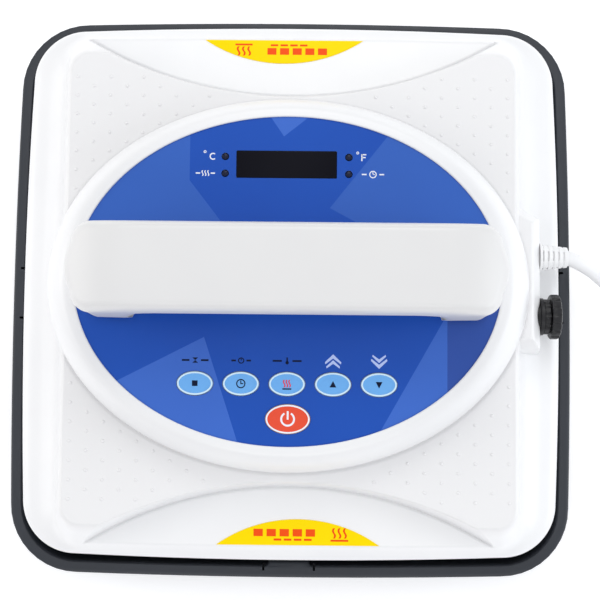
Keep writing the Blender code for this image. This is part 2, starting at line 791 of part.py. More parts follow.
def make_electronics():
    board_look = material("control_board", (0.03, 0.22, 0.09), 0.5)
    outline = rounded_rectangle(52 * MM, 66 * MM, 3 * MM, (0, -4 * MM), 2)
    low = BOARD_TOP - BOARD_THICKNESS
    board = to_mesh(plate("control_board", [outline], low, BOARD_TOP, board_look))
    half = 3 * MM
    for name, (x, y), _ in key_places():
        start = (x - half, y - half, BOARD_TOP - 0.5 * MM)
        end = (x + half, y + half, SWITCH_TOP)
        switch = box(f"switch_{name}", start, end, board_look)
        boolean(board, make_cutter(switch), "UNION")
    low = BOARD_TOP + GAP
    x, y = WINDOW_CENTRE
    display_look = material("display_module", (0.05, 0.05, 0.05), 0.5)
    start = (x - 22 * MM, y - 5.7 * MM, low)
    box("display_module", start, (x + 22 * MM, y + 5.7 * MM, DISPLAY_TOP), display_look)
    for name, centre in lamp_places():
        lamp_look = material(name, (0.02, 0.03, 0.08), 0.3)
        top = FILM_TOP + 0.2 * MM
        profile = (
            (0, top),
            (LAMP_RADIUS * 0.7, top - 0.3 * MM),
            (LAMP_RADIUS, top - 1 * MM),
            (LAMP_RADIUS, low),
            (0, low),
        )
        lamp_profile = [(r, z - low) for r, z in profile]
        turned(name, lamp_profile, (*centre, low), lamp_look, steps=12)
    buzzer_look = material("buzzer", (0.03, 0.03, 0.03), 0.5)
    cylinder("buzzer", 5.5 * MM, low, low + 6 * MM, (30 * MM, 15 * MM), buzzer_look)
    make_power_board()


def make_power_board():
    look = material("power_board", (0.03, 0.22, 0.09), 0.5)
    low = SHIELD_TOP + 12 * MM
    top = low + BOARD_THICKNESS
    outline = rounded_rectangle(50 * MM, 40 * MM, 3 * MM, steps=2)
    board = to_mesh(plate("power_board", [outline], low, top, look))
    for name, x, y in corner_places("board_leg", 34 * MM):
        leg = cylinder(
            name, 3 * MM, SHIELD_TOP + GAP, low + 0.5 * MM, (x, y), look, count=12
        )
        boolean(board, make_cutter(leg), "UNION")
    base = top + GAP
    pieces = (
        ("relay", (20, -12), (14, 8, 16), (0.1, 0.2, 0.55)),
        ("transformer", (-24, 10), (18, 15, 26), (0.75, 0.65, 0.2)),
        ("terminal_block", (0, -32), (14, 6, 12), (0.1, 0.35, 0.15)),
    )
    for name, (x, y), (half_x, half_y, height), color in pieces:
        start = ((x - half_x) * MM, (y - half_y) * MM, base)
        end = ((x + half_x) * MM, (y + half_y) * MM, base + height * MM)
        box(name, start, end, material(name, color, 0.45))


# Handle


def handle_piece(name, outline, edge, look):
    """A side outline in X and Z, as deep as the handle, with rounded edges."""
    half = (HANDLE_REAR - HANDLE_FRONT) / 2
    piece = plate(name, [outline], -half, half, look, edge)
    piece.rotation_euler.x = math.pi / 2
    piece.location = (HANDLE_SHIFT, (HANDLE_FRONT + HANDLE_REAR) / 2, 0)
    return piece


def make_handle():
    top_look = material("handle_top", (0.84, 0.84, 0.85), 0.25)
    split = HANDLE_SPLIT + GAP
    upper = (
        (-HANDLE_HALF, split),
        (HANDLE_HALF, split),
        (HANDLE_HALF - 2 * MM, HANDLE_TOP - 4 * MM),
        (HANDLE_HALF - 18 * MM, HANDLE_TOP),
        (18 * MM - HANDLE_HALF, HANDLE_TOP),
        (2 * MM - HANDLE_HALF, HANDLE_TOP - 4 * MM),
    )
    radii = (1.5 * MM, 1.5 * MM, 7 * MM, 30 * MM, 30 * MM, 7 * MM)
    handle_piece("handle_top", fillet(upper, radii, 4), 1.2 * MM, top_look)
    lower_look = material("handle_bottom", (0.84, 0.84, 0.85), 0.3)
    foot = FILM_TOP + GAP
    lower = (
        (-LEG_OUTER, foot),
        (-LEG_INNER, foot),
        (-LEG_INNER, GRIP_UNDERSIDE),
        (LEG_INNER, GRIP_UNDERSIDE),
        (LEG_INNER, foot),
        (LEG_OUTER, foot),
        (HANDLE_HALF, HANDLE_SPLIT),
        (-HANDLE_HALF, HANDLE_SPLIT),
    )
    radii = (1.5 * MM, 1.5 * MM, 10 * MM, 10 * MM, 1.5 * MM, 1.5 * MM, 0, 0)
    piece = handle_piece("handle_bottom", fillet(lower, radii, 3), 1.2 * MM, lower_look)
    solid = to_mesh(piece)
    centre_y = (HANDLE_FRONT + HANDLE_REAR) / 2
    for number, side in ((1, -1), (2, 1)):
        x = HANDLE_SHIFT + side * HANDLE_SCREW_PLACE
        name = f"handle_screw_{number}"
        high = HANDLE_SCREW_TOP + 1 * MM
        bore = cylinder(
            f"{name}_bore",
            HANDLE_SCREW_RADIUS + GAP,
            foot - 1 * MM,
            high,
            (x, centre_y),
            lower_look,
            count=16,
        )
        boolean(solid, make_cutter(bore))
        steel = material(name, (0.6, 0.6, 0.6), 0.35, 1.0)
        place = (x, centre_y, LEDGE)
        length = HANDLE_SCREW_TOP - LEDGE
        screw(name, place, 4 * MM, HANDLE_SCREW_RADIUS, length, steel)


# Cord, fuse and plug


def make_outlets():
    relief_look = material("strain_relief", WHITE, 0.45)
    bore = CORD_RADIUS + GAP
    inner = OUTLET_FACE - WALL - GAP
    profile = (
        (4.6 * MM, RELIEF_END),
        (5.5 * MM, OUTLET_FACE + 2 * MM),
        (8 * MM, OUTLET_FACE + 2 * MM),
        (8 * MM, OUTLET_FACE + GAP),
        (5.7 * MM, OUTLET_FACE + GAP),
        (5.7 * MM, inner),
        (8 * MM, inner),
        (8 * MM, inner - 2 * MM),
        (bore, inner - 2 * MM),
        (bore, RELIEF_END),
    )
    along_x("strain_relief", profile, CORD_Y, relief_look, 16)
    cord_look = material("power_cord", WHITE, 0.5)
    tube("power_cord", cord_path(), CORD_RADIUS, cord_look)
    holder_look = material("fuse_holder", (0.02, 0.02, 0.022), 0.4)
    bore = 3.6 * MM
    profile = (
        (9.1 * MM, FUSE_CAP_START - GAP),
        (9.1 * MM, OUTLET_FACE + GAP),
        (7.4 * MM, OUTLET_FACE + GAP),
        (7.4 * MM, 93 * MM),
        (bore, 93 * MM),
        (bore, FUSE_CAP_START - GAP),
    )
    along_x("fuse_holder", profile, FUSE_Y, holder_look, 16)
    fuse_look = material("glass_fuse", (0.8, 0.8, 0.78), 0.2)
    profile = (
        (0, 117 * MM),
        (FUSE_RADIUS, 117 * MM),
        (FUSE_RADIUS, 97 * MM),
        (0, 97 * MM),
    )
    along_x("glass_fuse", profile, FUSE_Y, fuse_look, 16, closed=False)
    cap_look = material("fuse_cap", (0.02, 0.02, 0.022), 0.45)
    edge = 0.8 * MM
    profile = (
        (0, FUSE_CAP_END),
        (FUSE_CAP_RADIUS - edge, FUSE_CAP_END),
        (FUSE_CAP_RADIUS, FUSE_CAP_END - edge),
        (FUSE_CAP_RADIUS, FUSE_CAP_START),
        (3.2 * MM, FUSE_CAP_START),
        (3.2 * MM, 118 * MM),
        (0, 118 * MM),
    )
    along_x("fuse_cap", profile, FUSE_Y, cap_look, 12, closed=False)


def along_x(name, profile, y, look, steps, closed=True):
    """A piece turned about an axis along X, from (radius, x) points."""
    piece = turned(name, profile, (0, y, OUTLET_HEIGHT), look, steps, closed)
    piece.rotation_euler.y = math.pi / 2
    return piece


def cord_path():
    """Out of the strain relief, over the tray's rim and down to the plug."""
    height = CORD_RADIUS + GAP
    plug_x, plug_y, plug_z = PLUG_PLACE
    keys = [
        (108 * MM, CORD_Y, OUTLET_HEIGHT),
        (RELIEF_END + 1.5 * MM, CORD_Y, OUTLET_HEIGHT),
        (149 * MM, 14.6 * MM, 53 * MM),
        (161 * MM, 9 * MM, 36 * MM),
        (170 * MM, -1 * MM, 16 * MM),
        (177 * MM, -15 * MM, height + 1 * MM),
        (181.5 * MM, -32 * MM, height),
        (182 * MM, -50 * MM, height + 1 * MM),
        (plug_x, plug_y + 10 * MM, plug_z - 0.5 * MM),
        (plug_x, plug_y + GAP, plug_z),
    ]
    points = [Vector(key) for key in keys]
    path = [points[0]]
    for i in range(1, len(points) - 2):
        before, start, end, after = points[i - 1 : i + 3]
        if i == 1:
            before = start + (start - end)
            before.y, before.z = start.y, start.z
        for step in range(CORD_STEPS):
            share = step / CORD_STEPS
            path.append(spline_point(before, start, end, after, share))
    path += points[-2:]
    return [tuple(point) for point in path]


def spline_point(before, start, end, after, share):
    """A point of the Catmull-Rom curve from start to end."""
    square, cube = share**2, share**3
    return 0.5 * (
        2 * start
        + (end - before) * share
        + (2 * before - 5 * start + 4 * end - after) * square
        + (3 * start - before - 3 * end + after) * cube
    )


def make_plug():
    look = material("mains_plug", WHITE, 0.45)
    profile = (
        (0, PLUG_LENGTH),
        (PLUG_RADIUS, PLUG_LENGTH),
        (PLUG_RADIUS, PLUG_LENGTH - 12 * MM),
        (9 * MM, 12 * MM),
        (5.5 * MM, 0),
        (0, 0),
    )
    plug = turned("mains_plug", profile, PLUG_PLACE, look)
    # Local +Z points along -Y, and the plug is flattened along world Z.
    plug.rotation_euler.x = math.pi / 2
    plug.scale.y = PLUG_FLATNESS
    x, y, z = PLUG_PLACE
    face = y - PLUG_LENGTH - GAP
    for number, side in ((1, -1), (2, 1)):
        name = f"plug_pin_{number}"
        brass = material(name, (0.8, 0.7, 0.45), 0.25, 1.0)
        profile = (
            (0, PIN_LENGTH),
            (PIN_RADIUS - 0.6 * MM, PIN_LENGTH),
            (PIN_RADIUS, PIN_LENGTH - 1 * MM),
            (PIN_RADIUS, 0),
            (0, 0),
        )
        place = (x + side * PIN_SPACING / 2, face, z)
        pin = turned(name, profile, place, brass, steps=12)
        pin.rotation_euler.x = math.pi / 2


# Warning labels


def make_labels():
    """A yellow circular segment on the sloping floor of each crescent."""
    tilt = math.atan2(CREST_INNER - CREST_EDGE[1], CREST_EDGE[0] - CREST_MIDDLE)
    thickness = 0.25 * MM
    places = (("label_front", -1, 4.5, 121.6), ("label_rear", 1, -4.5, 123.6))
    for name, side, middle_x, straight in places:
        half, rise = 38.7 * MM, 12.8 * MM
        radius = (half**2 + rise**2) / (2 * rise)
        widest = math.asin(half / radius)
        outline = []
        for step in range(17):
            turn = widest * (step / 8 - 1)
            x = radius * math.sin(turn)
            y = radius * math.cos(turn) - (radius - rise)
            outline.append((x, y))
        look = material(name, (1.0, 0.75, 0.0), 0.4)
        label = plate(name, [outline], 0, thickness, look)
        height = crest_height(straight * MM) + GAP
        label.location = (middle_x * MM, side * straight * MM, height)
        label.rotation_euler = (tilt, 0, math.pi if side > 0 else 0)


clear_scene()
PARTS = new_collection("flat_heat_press")
CUTTERS = new_collection("cutters")
make_tray()
make_heating_stack()
make_shell()
make_bottom_frame()
make_bezel()
make_panel()
make_keys()
make_electronics()
make_handle()
make_outlets()
make_plug()
make_labels()
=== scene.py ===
"""Looks of the portable flat heat press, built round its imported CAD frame.

Everything is in the CAD's own frame. Sizes are written in millimetres and turned into
metres by MM.
"""

import math
from contextlib import contextmanager

import bmesh
import bpy
import numpy as np
from mathutils import Matrix, Vector


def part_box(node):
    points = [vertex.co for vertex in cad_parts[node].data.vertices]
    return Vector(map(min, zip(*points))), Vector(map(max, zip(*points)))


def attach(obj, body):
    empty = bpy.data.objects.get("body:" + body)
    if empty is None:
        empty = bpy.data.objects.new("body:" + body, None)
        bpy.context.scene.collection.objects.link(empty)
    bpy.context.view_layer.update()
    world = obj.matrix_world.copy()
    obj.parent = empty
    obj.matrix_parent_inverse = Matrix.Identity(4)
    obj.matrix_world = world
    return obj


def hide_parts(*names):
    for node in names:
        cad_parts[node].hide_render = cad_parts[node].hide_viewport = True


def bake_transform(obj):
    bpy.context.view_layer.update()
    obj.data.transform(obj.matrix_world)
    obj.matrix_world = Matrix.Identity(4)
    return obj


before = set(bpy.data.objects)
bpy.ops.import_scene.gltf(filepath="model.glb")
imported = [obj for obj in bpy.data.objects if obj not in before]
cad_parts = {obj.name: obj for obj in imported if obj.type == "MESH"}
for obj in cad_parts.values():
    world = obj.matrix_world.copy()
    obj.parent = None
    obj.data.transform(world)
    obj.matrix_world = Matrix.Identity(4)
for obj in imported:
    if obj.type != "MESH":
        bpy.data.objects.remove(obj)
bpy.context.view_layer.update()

MM = 0.001


def box(name):
    """The low and high corner of a CAD node, in millimetres."""
    return [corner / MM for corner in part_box(name)]


def middle(name):
    """The middle of a CAD node, seen from above."""
    low, high = box(name)
    return (low.x + high.x) / 2, (low.y + high.y) / 2


# Places read from the frame
TRAY_HIGH = box("base_tray")[1]
SHELL_LOW = box("upper_shell")[0]
PLATE_LOW = box("panel_plate")[0]
BEZEL_LOW, BEZEL_HIGH = box("bezel_ring")
FILM_LOW, FILM_HIGH = box("panel_film")
COVER_LOW, COVER_HIGH = box("handle_top")
GRIP_LOW, GRIP_HIGH = box("handle_bottom")
WINDOW_LOW, WINDOW_HIGH = box("display_window")

# The oval panel and bezel share a centre; each is narrowed along Y by its ratio
OVAL_CENTRE = tuple((FILM_LOW + FILM_HIGH).xy / 2)
FILM_REACH, FILM_DEPTH = (FILM_HIGH - FILM_LOW).xy / 2
FILM_RATIO = FILM_DEPTH / FILM_REACH
BEZEL_REACH, BEZEL_DEPTH = (BEZEL_HIGH - BEZEL_LOW).xy / 2
BEZEL_RATIO = (BEZEL_DEPTH - 1) / BEZEL_REACH

# The shell's outer form: half widths along X and Y, corner radius, how far the sides
# bow out, how far the section sits towards the rear, and height
SHELL_SECTIONS = (
    (132, 131.8, 26.5, 2.2, 1.6, 40),
    (131.4, 131.4, 26, 2.2, 1.5, 43.5),
    (128.5, 130.1, 25, 2.1, 1.4, 46),
    (121, 128.1, 21, 1.7, 1.3, 48),
    (114.5, 125.6, 15, 1.2, 1.1, 51),
    (111.5, 123.2, 12, 0.8, 0.9, 55),
    (109.3, 118.4, 11, 0.5, 0.5, 63),
    (107.6, 113.6, 10, 0.3, 0.1, 71.5),
    (105.6, 111.5, 9, 0.2, 0, 74),
)
PAD_FORM = SHELL_SECTIONS[-1][:3]
SKIRT_REACH = 129.2
SKIRT_SHIFT = 0.8
OPENING_REACH = 101.0

# The crescents: the arc's middle and end, then the floor's height at both of its edges
CREST_MIDDLE = 93.6
CREST_END = (93.0, 119.0)
CREST_EDGE = (122.5, 55.0)
CREST_INNER = 62.0
CREST_SLANT = 0.22
CREST_SLOPE = (CREST_INNER - CREST_EDGE[1]) / (CREST_EDGE[0] - CREST_MIDDLE)
SEAM_DEPTH, SEAM_WIDTH, SEAM_REACH = 2.6, 0.9, 0.5

# The outlet block, and what leaves from it
OUTLET_FACE = 119.0
OUTLET_TOP = 71.5
OUTLET_CHAMFER = 4.6
OUTLET_HEIGHT = 60.0
OUTLET_START = OUTLET_FACE + 0.2
OUTLET_ENDS = (-23.8, 31.8)
OUTLET_CUT = (9.6, 5.5)
CORD_Y = 16.6
CORD_RADIUS = 3.5
FUSE_Y = -12.0

KEY_RATIO = 0.655
LAMP_RADIUS = 1.55
NUB_COLUMN = 7.83
NUB_ROW = 8.95
NUB_FIRST = (102.2, 55.0)
NUB_RADIUS = 0.8
NUB_HEIGHT = 0.45
HANDLE_CORNER = 9.0
HANDLE_BOW = 2.6


# Small maths


def smooth_max(a, b, blend):
    """The larger of two heights, rounded over a band of this width."""
    share = np.clip(0.5 + 0.5 * (a - b) / blend, 0, 1)
    return b + (a - b) * share + blend * share * (1 - share)


def smooth_min(a, b, blend):
    return -smooth_max(-a, -b, blend)


def groove(distance, width):
    """A rounded dip of depth 1 where the distance is 0."""
    return np.exp(-((distance / width) ** 2))


def rounded_distance(x, y, half_x, half_y, radius, bow_x=0, bow_y=0):
    """Distance outside a rounded rectangle, negative inside it.

    Its ends along X bow out by bow_x and its sides along Y by bow_y, up to the half widths.
    """
    along_x = np.clip(np.abs(x) / (half_x - bow_x - radius), 0, 1)
    along_y = np.clip(np.abs(y) / (half_y - bow_y - radius), 0, 1)
    over_x = np.abs(x) - (half_x - bow_x * along_y**2 - radius)
    over_y = np.abs(y) - (half_y - bow_y * along_x**2 - radius)
    outside = np.hypot(np.maximum(over_x, 0), np.maximum(over_y, 0))
    return outside + np.minimum(np.maximum(over_x, over_y), 0) - radius


def spaced(*stops):
    """Positions from the first stop to the last, each stop giving the step after it."""
    places = []
    for (start, step), (end, _) in zip(stops, stops[1:]):
        count = max(1, round((end - start) / step))
        places += [start + (end - start) * i / count for i in range(count)]
    places.append(stops[-1][0])
    return np.array(places)


def mirrored(half):
    return np.concatenate([-half[:0:-1], half])


def around(count):
    """Evenly spaced angles of a whole turn."""
    return [2 * math.pi * i / count for i in range(count)]


def curve_through(keys, steps):
    """A Catmull-Rom curve through rows of numbers."""
    keys = [np.array(key, float) for key in keys]
    keys = [2 * keys[0] - keys[1]] + keys + [2 * keys[-1] - keys[-2]]
    points = []
    for before, start, end, after in zip(keys, keys[1:], keys[2:], keys[3:]):
        bend = 2 * before - 5 * start + 4 * end - after
        twist = 3 * start - before - 3 * end + after
        for t in (i / steps for i in range(steps)):
            points.append(0.5 * (2 * start + (end - before) * t + bend * t**2 + twist * t**3))
    points.append(keys[-2])
    return np.array(points)


def fillet(corners, radii, steps=6):
    """A closed outline through these corners, each rounded to its radius."""
    outline = []
    for i, (corner, radius) in enumerate(zip(corners, radii)):
        if not radius:
            outline.append(corner)
            continue
        here = Vector(corner)
        before = (Vector(corners[i - 1]) - here).normalized()
        after = (Vector(corners[(i + 1) % len(corners)]) - here).normalized()
        half = before.angle(after) / 2
        centre = here + (before + after).normalized() * radius / math.sin(half)
        start = here + before * radius / math.tan(half) - centre
        sweep = start.angle_signed(here + after * radius / math.tan(half) - centre)
        for step in range(steps + 1):
            turn = Matrix.Rotation(-sweep * step / steps, 2)
            outline.append(tuple(centre + turn @ start))
    return outline


def oval(radius, ratio=1.0, centre=(0, 0), count=64):
    x, y = centre
    return [(x + radius * math.cos(t), y + radius * ratio * math.sin(t)) for t in around(count)]


def rectangle(low, high, inset=0.0):
    """The corners of a box seen from above, drawn in by the inset."""
    x0, y0, x1, y1 = low.x + inset, low.y + inset, high.x - inset, high.y - inset
    return (x0, y0), (x1, y0), (x1, y1), (x0, y1)


# Materials

LOOKS = {}


class Look:
    """A Principled material, kept by its name, and the node helpers that dress it."""

    def __init__(self, name, color, roughness, metallic=0.0):
        self.material = bpy.data.materials.new(name)
        self.material.use_nodes = True
        self.tree = self.material.node_tree
        self.shader = self.tree.nodes["Principled BSDF"]
        self.color = (*color, 1.0)
        self.normal = None
        self.set("Base Color", self.color)
        self.set("Roughness", roughness)
        self.set("Metallic", metallic)
        self.coordinates = self.node("TexCoord").outputs["Object"]
        LOOKS[name] = self

    def fill(self, node, inputs):
        """Links an input to the socket given for it, or sets it to the value given."""
        for name, value in inputs.items():
            if isinstance(value, bpy.types.NodeSocket):
                self.tree.links.new(value, node.inputs[name])
            else:
                node.inputs[name].default_value = value

    def set(self, name, value):
        self.fill(self.shader, {name: value})

    def node(self, kind, inputs=None, **settings):
        made = self.tree.nodes.new("ShaderNode" + kind)
        for name, value in settings.items():
            setattr(made, name, value)
        self.fill(made, inputs or {})
        return made

    def noise(self, size, detail=2.0, stretch=(1, 1, 1)):
        """A noise whose features are about this many millimetres across."""
        mapping = self.node("Mapping", {"Vector": self.coordinates, "Scale": stretch})
        inputs = {"Vector": mapping.outputs["Vector"], "Scale": 1 / (size * MM), "Detail": detail}
        return self.node("TexNoise", inputs).outputs["Fac"]

    def remap(self, source, start, end, low=0.0, high=1.0):
        """The source remapped so that start to end becomes low to high."""
        inputs = {"Value": source, "From Min": start, "From Max": end, "To Min": low, "To Max": high}
        return self.node("MapRange", inputs).outputs["Result"]

    def spread(self, source, low, high):
        """A noise remapped so that its usual range runs from low to high."""
        return self.remap(source, 0.3, 0.7, low, high)

    def mix_color(self, other, share):
        """Mixes the colour so far with another one, by this share."""
        inputs = {"A": self.color, "B": (*other, 1.0), "Factor": share}
        self.color = self.node("Mix", inputs, data_type="RGBA").outputs["Result"]
        self.set("Base Color", self.color)

    def vary_color(self, source, other):
        """Mixes towards the other colour where the source is high."""
        self.mix_color(other, self.spread(source, 0, 1))

    def paint_shade_above(self, low, high, other):
        """Fades to another colour between these heights, in millimetres, as painted shade."""
        height = self.node("SeparateXYZ", {"Vector": self.coordinates}).outputs["Z"]
        self.mix_color(other, self.remap(height, low * MM, high * MM))

    def vary_roughness(self, source, low, high):
        self.set("Roughness", self.spread(source, low, high))

    def bump(self, source, depth):
        """Relief of this many millimetres, on top of any that is there already."""
        bump = self.node("Bump", {"Strength": 1.0, "Distance": depth * MM, "Height": source})
        if self.normal is not None:
            self.fill(bump, {"Normal": self.normal})
        self.normal = bump.outputs["Normal"]
        self.set("Normal", self.normal)


def moulded_plastic(name, color, shade, roughness, grain=1.2, depth=0.0015):
    """Injection-moulded plastic: slow waves, a fine grain and a slight tint change."""
    look = Look(name, color, roughness)
    look.vary_color(look.noise(45, 3), shade)
    look.vary_roughness(look.noise(14), roughness * 0.92, roughness * 1.08)
    look.bump(look.noise(40, 1), depth * 20)
    look.bump(look.noise(grain, 1), depth)


def printed_film(name, color, shade, shine=0.35):
    """Back-printed polyester film: even colour under a finely textured clear face."""
    look = Look(name, color, 0.32)
    look.vary_color(look.noise(60), shade)
    look.vary_roughness(look.noise(6), 0.29, 0.35)
    look.bump(look.noise(0.9, 1), 0.0012)
    look.set("Specular IOR Level", shine)


def metal(name, color, roughness, stretch=(1, 1, 1), metallic=1.0):
    look = Look(name, color, roughness, metallic)
    darker = tuple(channel * 0.8 for channel in color)
    look.vary_color(look.noise(8, 4, stretch), darker)
    look.vary_roughness(look.noise(2, 4, stretch), roughness * 0.75, roughness * 1.3)
    look.bump(look.noise(0.6, 3, stretch), 0.004)


def cloth(name, color, shade, thread, depth):
    """Woven cloth: two crossing bands of threads."""
    look = Look(name, color, 0.9)
    look.vary_color(look.noise(5, 3), shade)
    # A wave texture repeats every 20 / pi units at a scale of 1.
    inputs = {"Scale": 0.314 / (thread * MM), "Distortion": 0.4, "Vector": look.coordinates}
    for direction in ("X", "Y"):
        wave = look.node("TexWave", inputs, wave_type="BANDS", bands_direction=direction)
        look.bump(wave.outputs["Fac"], depth)


# Name, colour, the shade it varies towards, roughness, size of the grain and its depth
WHITE, WHITE_SHADE = (0.86, 0.86, 0.865), (0.84, 0.84, 0.85)
PLASTICS = (
    ("shell_white", WHITE, WHITE_SHADE, 0.3),
    ("bezel_white", (0.84, 0.84, 0.845), (0.82, 0.82, 0.83), 0.34),
    # The handle's white is set darker than the shell's: painted shade for the light that its flat
    # top misses.
    ("handle_white", (0.73, 0.725, 0.72), (0.71, 0.705, 0.705), 0.34),
    ("cord_white", WHITE, WHITE_SHADE, 0.5, 0.8, 0.004),
    ("tray_grey", (0.024, 0.028, 0.037), (0.021, 0.025, 0.033), 0.45, 0.7, 0.03),
    ("frame_grey", (0.1, 0.1, 0.11), (0.085, 0.085, 0.095), 0.5, 0.7, 0.03),
    ("black_plastic", (0.014, 0.014, 0.016), (0.02, 0.02, 0.022), 0.35, 0.5, 0.015),
    ("foot_rubber", (0.02, 0.02, 0.02), (0.03, 0.03, 0.03), 0.75, 0.5, 0.03),
    ("panel_base", (0.6, 0.6, 0.61), (0.56, 0.56, 0.57), 0.5),
    ("board_green", (0.02, 0.16, 0.06), (0.03, 0.2, 0.08), 0.4),
    ("relay_blue", (0.05, 0.12, 0.45), (0.05, 0.1, 0.4), 0.35),
    ("winding_tape", (0.7, 0.55, 0.1), (0.6, 0.45, 0.08), 0.45),
    ("terminal_green", (0.05, 0.3, 0.12), (0.04, 0.25, 0.1), 0.45),
    ("fuse_tube", (0.75, 0.75, 0.73), (0.7, 0.7, 0.68), 0.15),
)
# Name, colour, the shade it varies towards and specular level
FILMS = (
    ("film_blue", (0.009, 0.08, 0.45), (0.008, 0.072, 0.42), 0.2),
    ("film_dark", (0.024, 0.078, 0.37), (0.021, 0.073, 0.35), 0.25),
    ("film_light", (0.034, 0.122, 0.5), (0.031, 0.114, 0.47), 0.2),
    ("film_pale", (0.042, 0.142, 0.57), (0.038, 0.13, 0.54), 0.25),
    ("key_blue", (0.155, 0.44, 0.87), (0.145, 0.42, 0.85)),
    ("key_red", (0.82, 0.08, 0.035), (0.78, 0.075, 0.03), 0.25),
    ("key_rim", (0.68, 0.86, 0.96), (0.64, 0.83, 0.94)),
    ("ink_white", (0.88, 0.9, 0.95), (0.84, 0.86, 0.92)),
    ("ink_pale", (0.5, 0.6, 0.92), (0.46, 0.56, 0.9)),
    ("ink_navy", (0.004, 0.008, 0.03), (0.004, 0.01, 0.035), 0.1),
    ("ink_red", (0.75, 0.05, 0.08), (0.7, 0.05, 0.08)),
    ("ink_orange", (0.9, 0.085, 0.006), (0.86, 0.08, 0.005), 0.08),
    ("label_yellow", (1.0, 0.73, 0.0), (0.98, 0.7, 0.0), 0.08),
    ("window_dark", (0.004, 0.004, 0.008), (0.005, 0.005, 0.009), 0.08),
    ("lamp_dark", (0.004, 0.008, 0.035), (0.004, 0.007, 0.03), 0.25),
)


def make_materials():
    for row in PLASTICS:
        moulded_plastic(*row)
    for row in FILMS:
        printed_film(*row)
    metal("steel", (0.6, 0.6, 0.61), 0.3)
    metal("pin_brass", (0.78, 0.68, 0.42), 0.25, (1, 0.1, 1))
    metal("shield_sheet", (0.72, 0.73, 0.74), 0.35, (0.1, 1, 1))
    metal("element_steel", (0.42, 0.36, 0.3), 0.4, metallic=0.8)
    metal("plate_coating", (0.05, 0.05, 0.055), 0.35, metallic=0.2)
    cloth("mat_cloth", (0.18, 0.18, 0.19), (0.14, 0.14, 0.15), 1.2, 0.12)
    cloth("pad_felt", (0.75, 0.72, 0.63), (0.68, 0.64, 0.54), 2.0, 0.2)
    cloth("lead_sleeve", (0.7, 0.62, 0.5), (0.6, 0.5, 0.4), 0.8, 0.08)
    # Painted shade: the shell is darkened from 65 mm up, so its flat top looks greyer than its
    # sloping flanks, as side light would make it.
    LOOKS["shell_white"].paint_shade_above(65, 73.5, (0.81, 0.805, 0.81))
    LOOKS["black_plastic"].set("Specular IOR Level", 0.3)


# Meshes


def added(name, data):
    """A new object in the scene."""
    obj = bpy.data.objects.new(name, data)
    bpy.context.scene.collection.objects.link(obj)
    return obj


@contextmanager
def edited(mesh):
    """The mesh as a bmesh, which is written back at the end."""
    bm = bmesh.new()
    bm.from_mesh(mesh)
    yield bm
    bm.to_mesh(mesh)
    bm.free()


def plain_mesh(name, shape):
    """A mesh from (points, faces) with the points in millimetres."""
    mesh = bpy.data.meshes.new(name)
    mesh.from_pydata((np.asarray(shape[0], float) * MM).tolist(), [], shape[1])
    return mesh


def piece(name, shape, look, body="press", replaces=None, sharp=40):
    """A piece from a shape or a mesh, riding on a body; given a tuple of bodies, it is left
    unattached in place.
    """
    mesh = shape
    if isinstance(shape, tuple):
        mesh = plain_mesh(name, shape)
        mesh.validate()
    obj = added(name, mesh)
    for one in look if isinstance(look, list) else [look]:
        mesh.materials.append(LOOKS[one].material)
    mesh.shade_smooth()
    mesh.set_sharp_from_angle(angle=math.radians(sharp))
    if isinstance(body, tuple):
        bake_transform(obj)
    else:
        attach(obj, body)
    if replaces:
        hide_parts(replaces)
    return obj


def sliced(bm, place, normal, **clear):
    """Cuts a bmesh along a plane through a place in millimetres."""
    everything = bm.verts[:] + bm.edges[:] + bm.faces[:]
    return bmesh.ops.bisect_plane(
        bm, geom=everything, dist=1e-7, plane_co=Vector(place) * MM, plane_no=normal, **clear
    )


def grid_faces(rows, columns, wrap=False):
    """Quads between rows of points; wrap joins each row's last point to its first."""
    faces = []
    for row in range(rows - 1):
        for column in range(columns if wrap else columns - 1):
            here = row * columns + column
            beside = row * columns + (column + 1) % columns
            faces.append((here, beside, beside + columns, here + columns))
    return faces


def loft(rings, caps=True):
    """A shape through closed rings that run anticlockwise and upwards."""
    count = len(rings[0])
    points = [tuple(point) for loop in rings for point in loop]
    faces = grid_faces(len(rings), count, wrap=True)
    if caps:
        faces.append(tuple(range(count))[::-1])
        faces.append(tuple(range(len(points) - count, len(points))))
    return points, faces


def spin(profile, count, closed=False, flutes=None):
    """A profile of (radius, height) turned about Z, with its outside going up.

    flutes is a function of (turn, radius, height) that returns the radius to use.
    """
    rings = []
    for radius, height in profile:
        loop = []
        for turn in around(count):
            reach = flutes(turn, radius, height) if flutes else radius
            loop.append((reach * math.cos(turn), reach * math.sin(turn), height))
        rings.append(loop)
    points, faces = loft(rings, not closed)
    if closed:
        last = (len(rings) - 1) * count
        for i in range(count):
            j = (i + 1) % count
            faces.append((last + i, last + j, j, i))
    return points, faces


def placed(shape, turn=None, offset=(0, 0, 0), scale=(1, 1, 1)):
    """A shape scaled, then turned by a matrix, then moved."""
    points = np.asarray(shape[0], float) * np.array(scale)
    if turn is not None:
        points = points @ np.array(turn).T
    return points + np.array(offset), shape[1]


def joined(shapes):
    """Several shapes as one."""
    points, faces = [], []
    for some_points, some_faces in shapes:
        start = len(points)
        points += [tuple(point) for point in some_points]
        faces += [tuple(start + i for i in face) for face in some_faces]
    return points, faces


ALONG_X = Matrix.Rotation(math.pi / 2, 3, "Y")
ALONG_MINUS_Y = Matrix.Rotation(math.pi / 2, 3, "X")


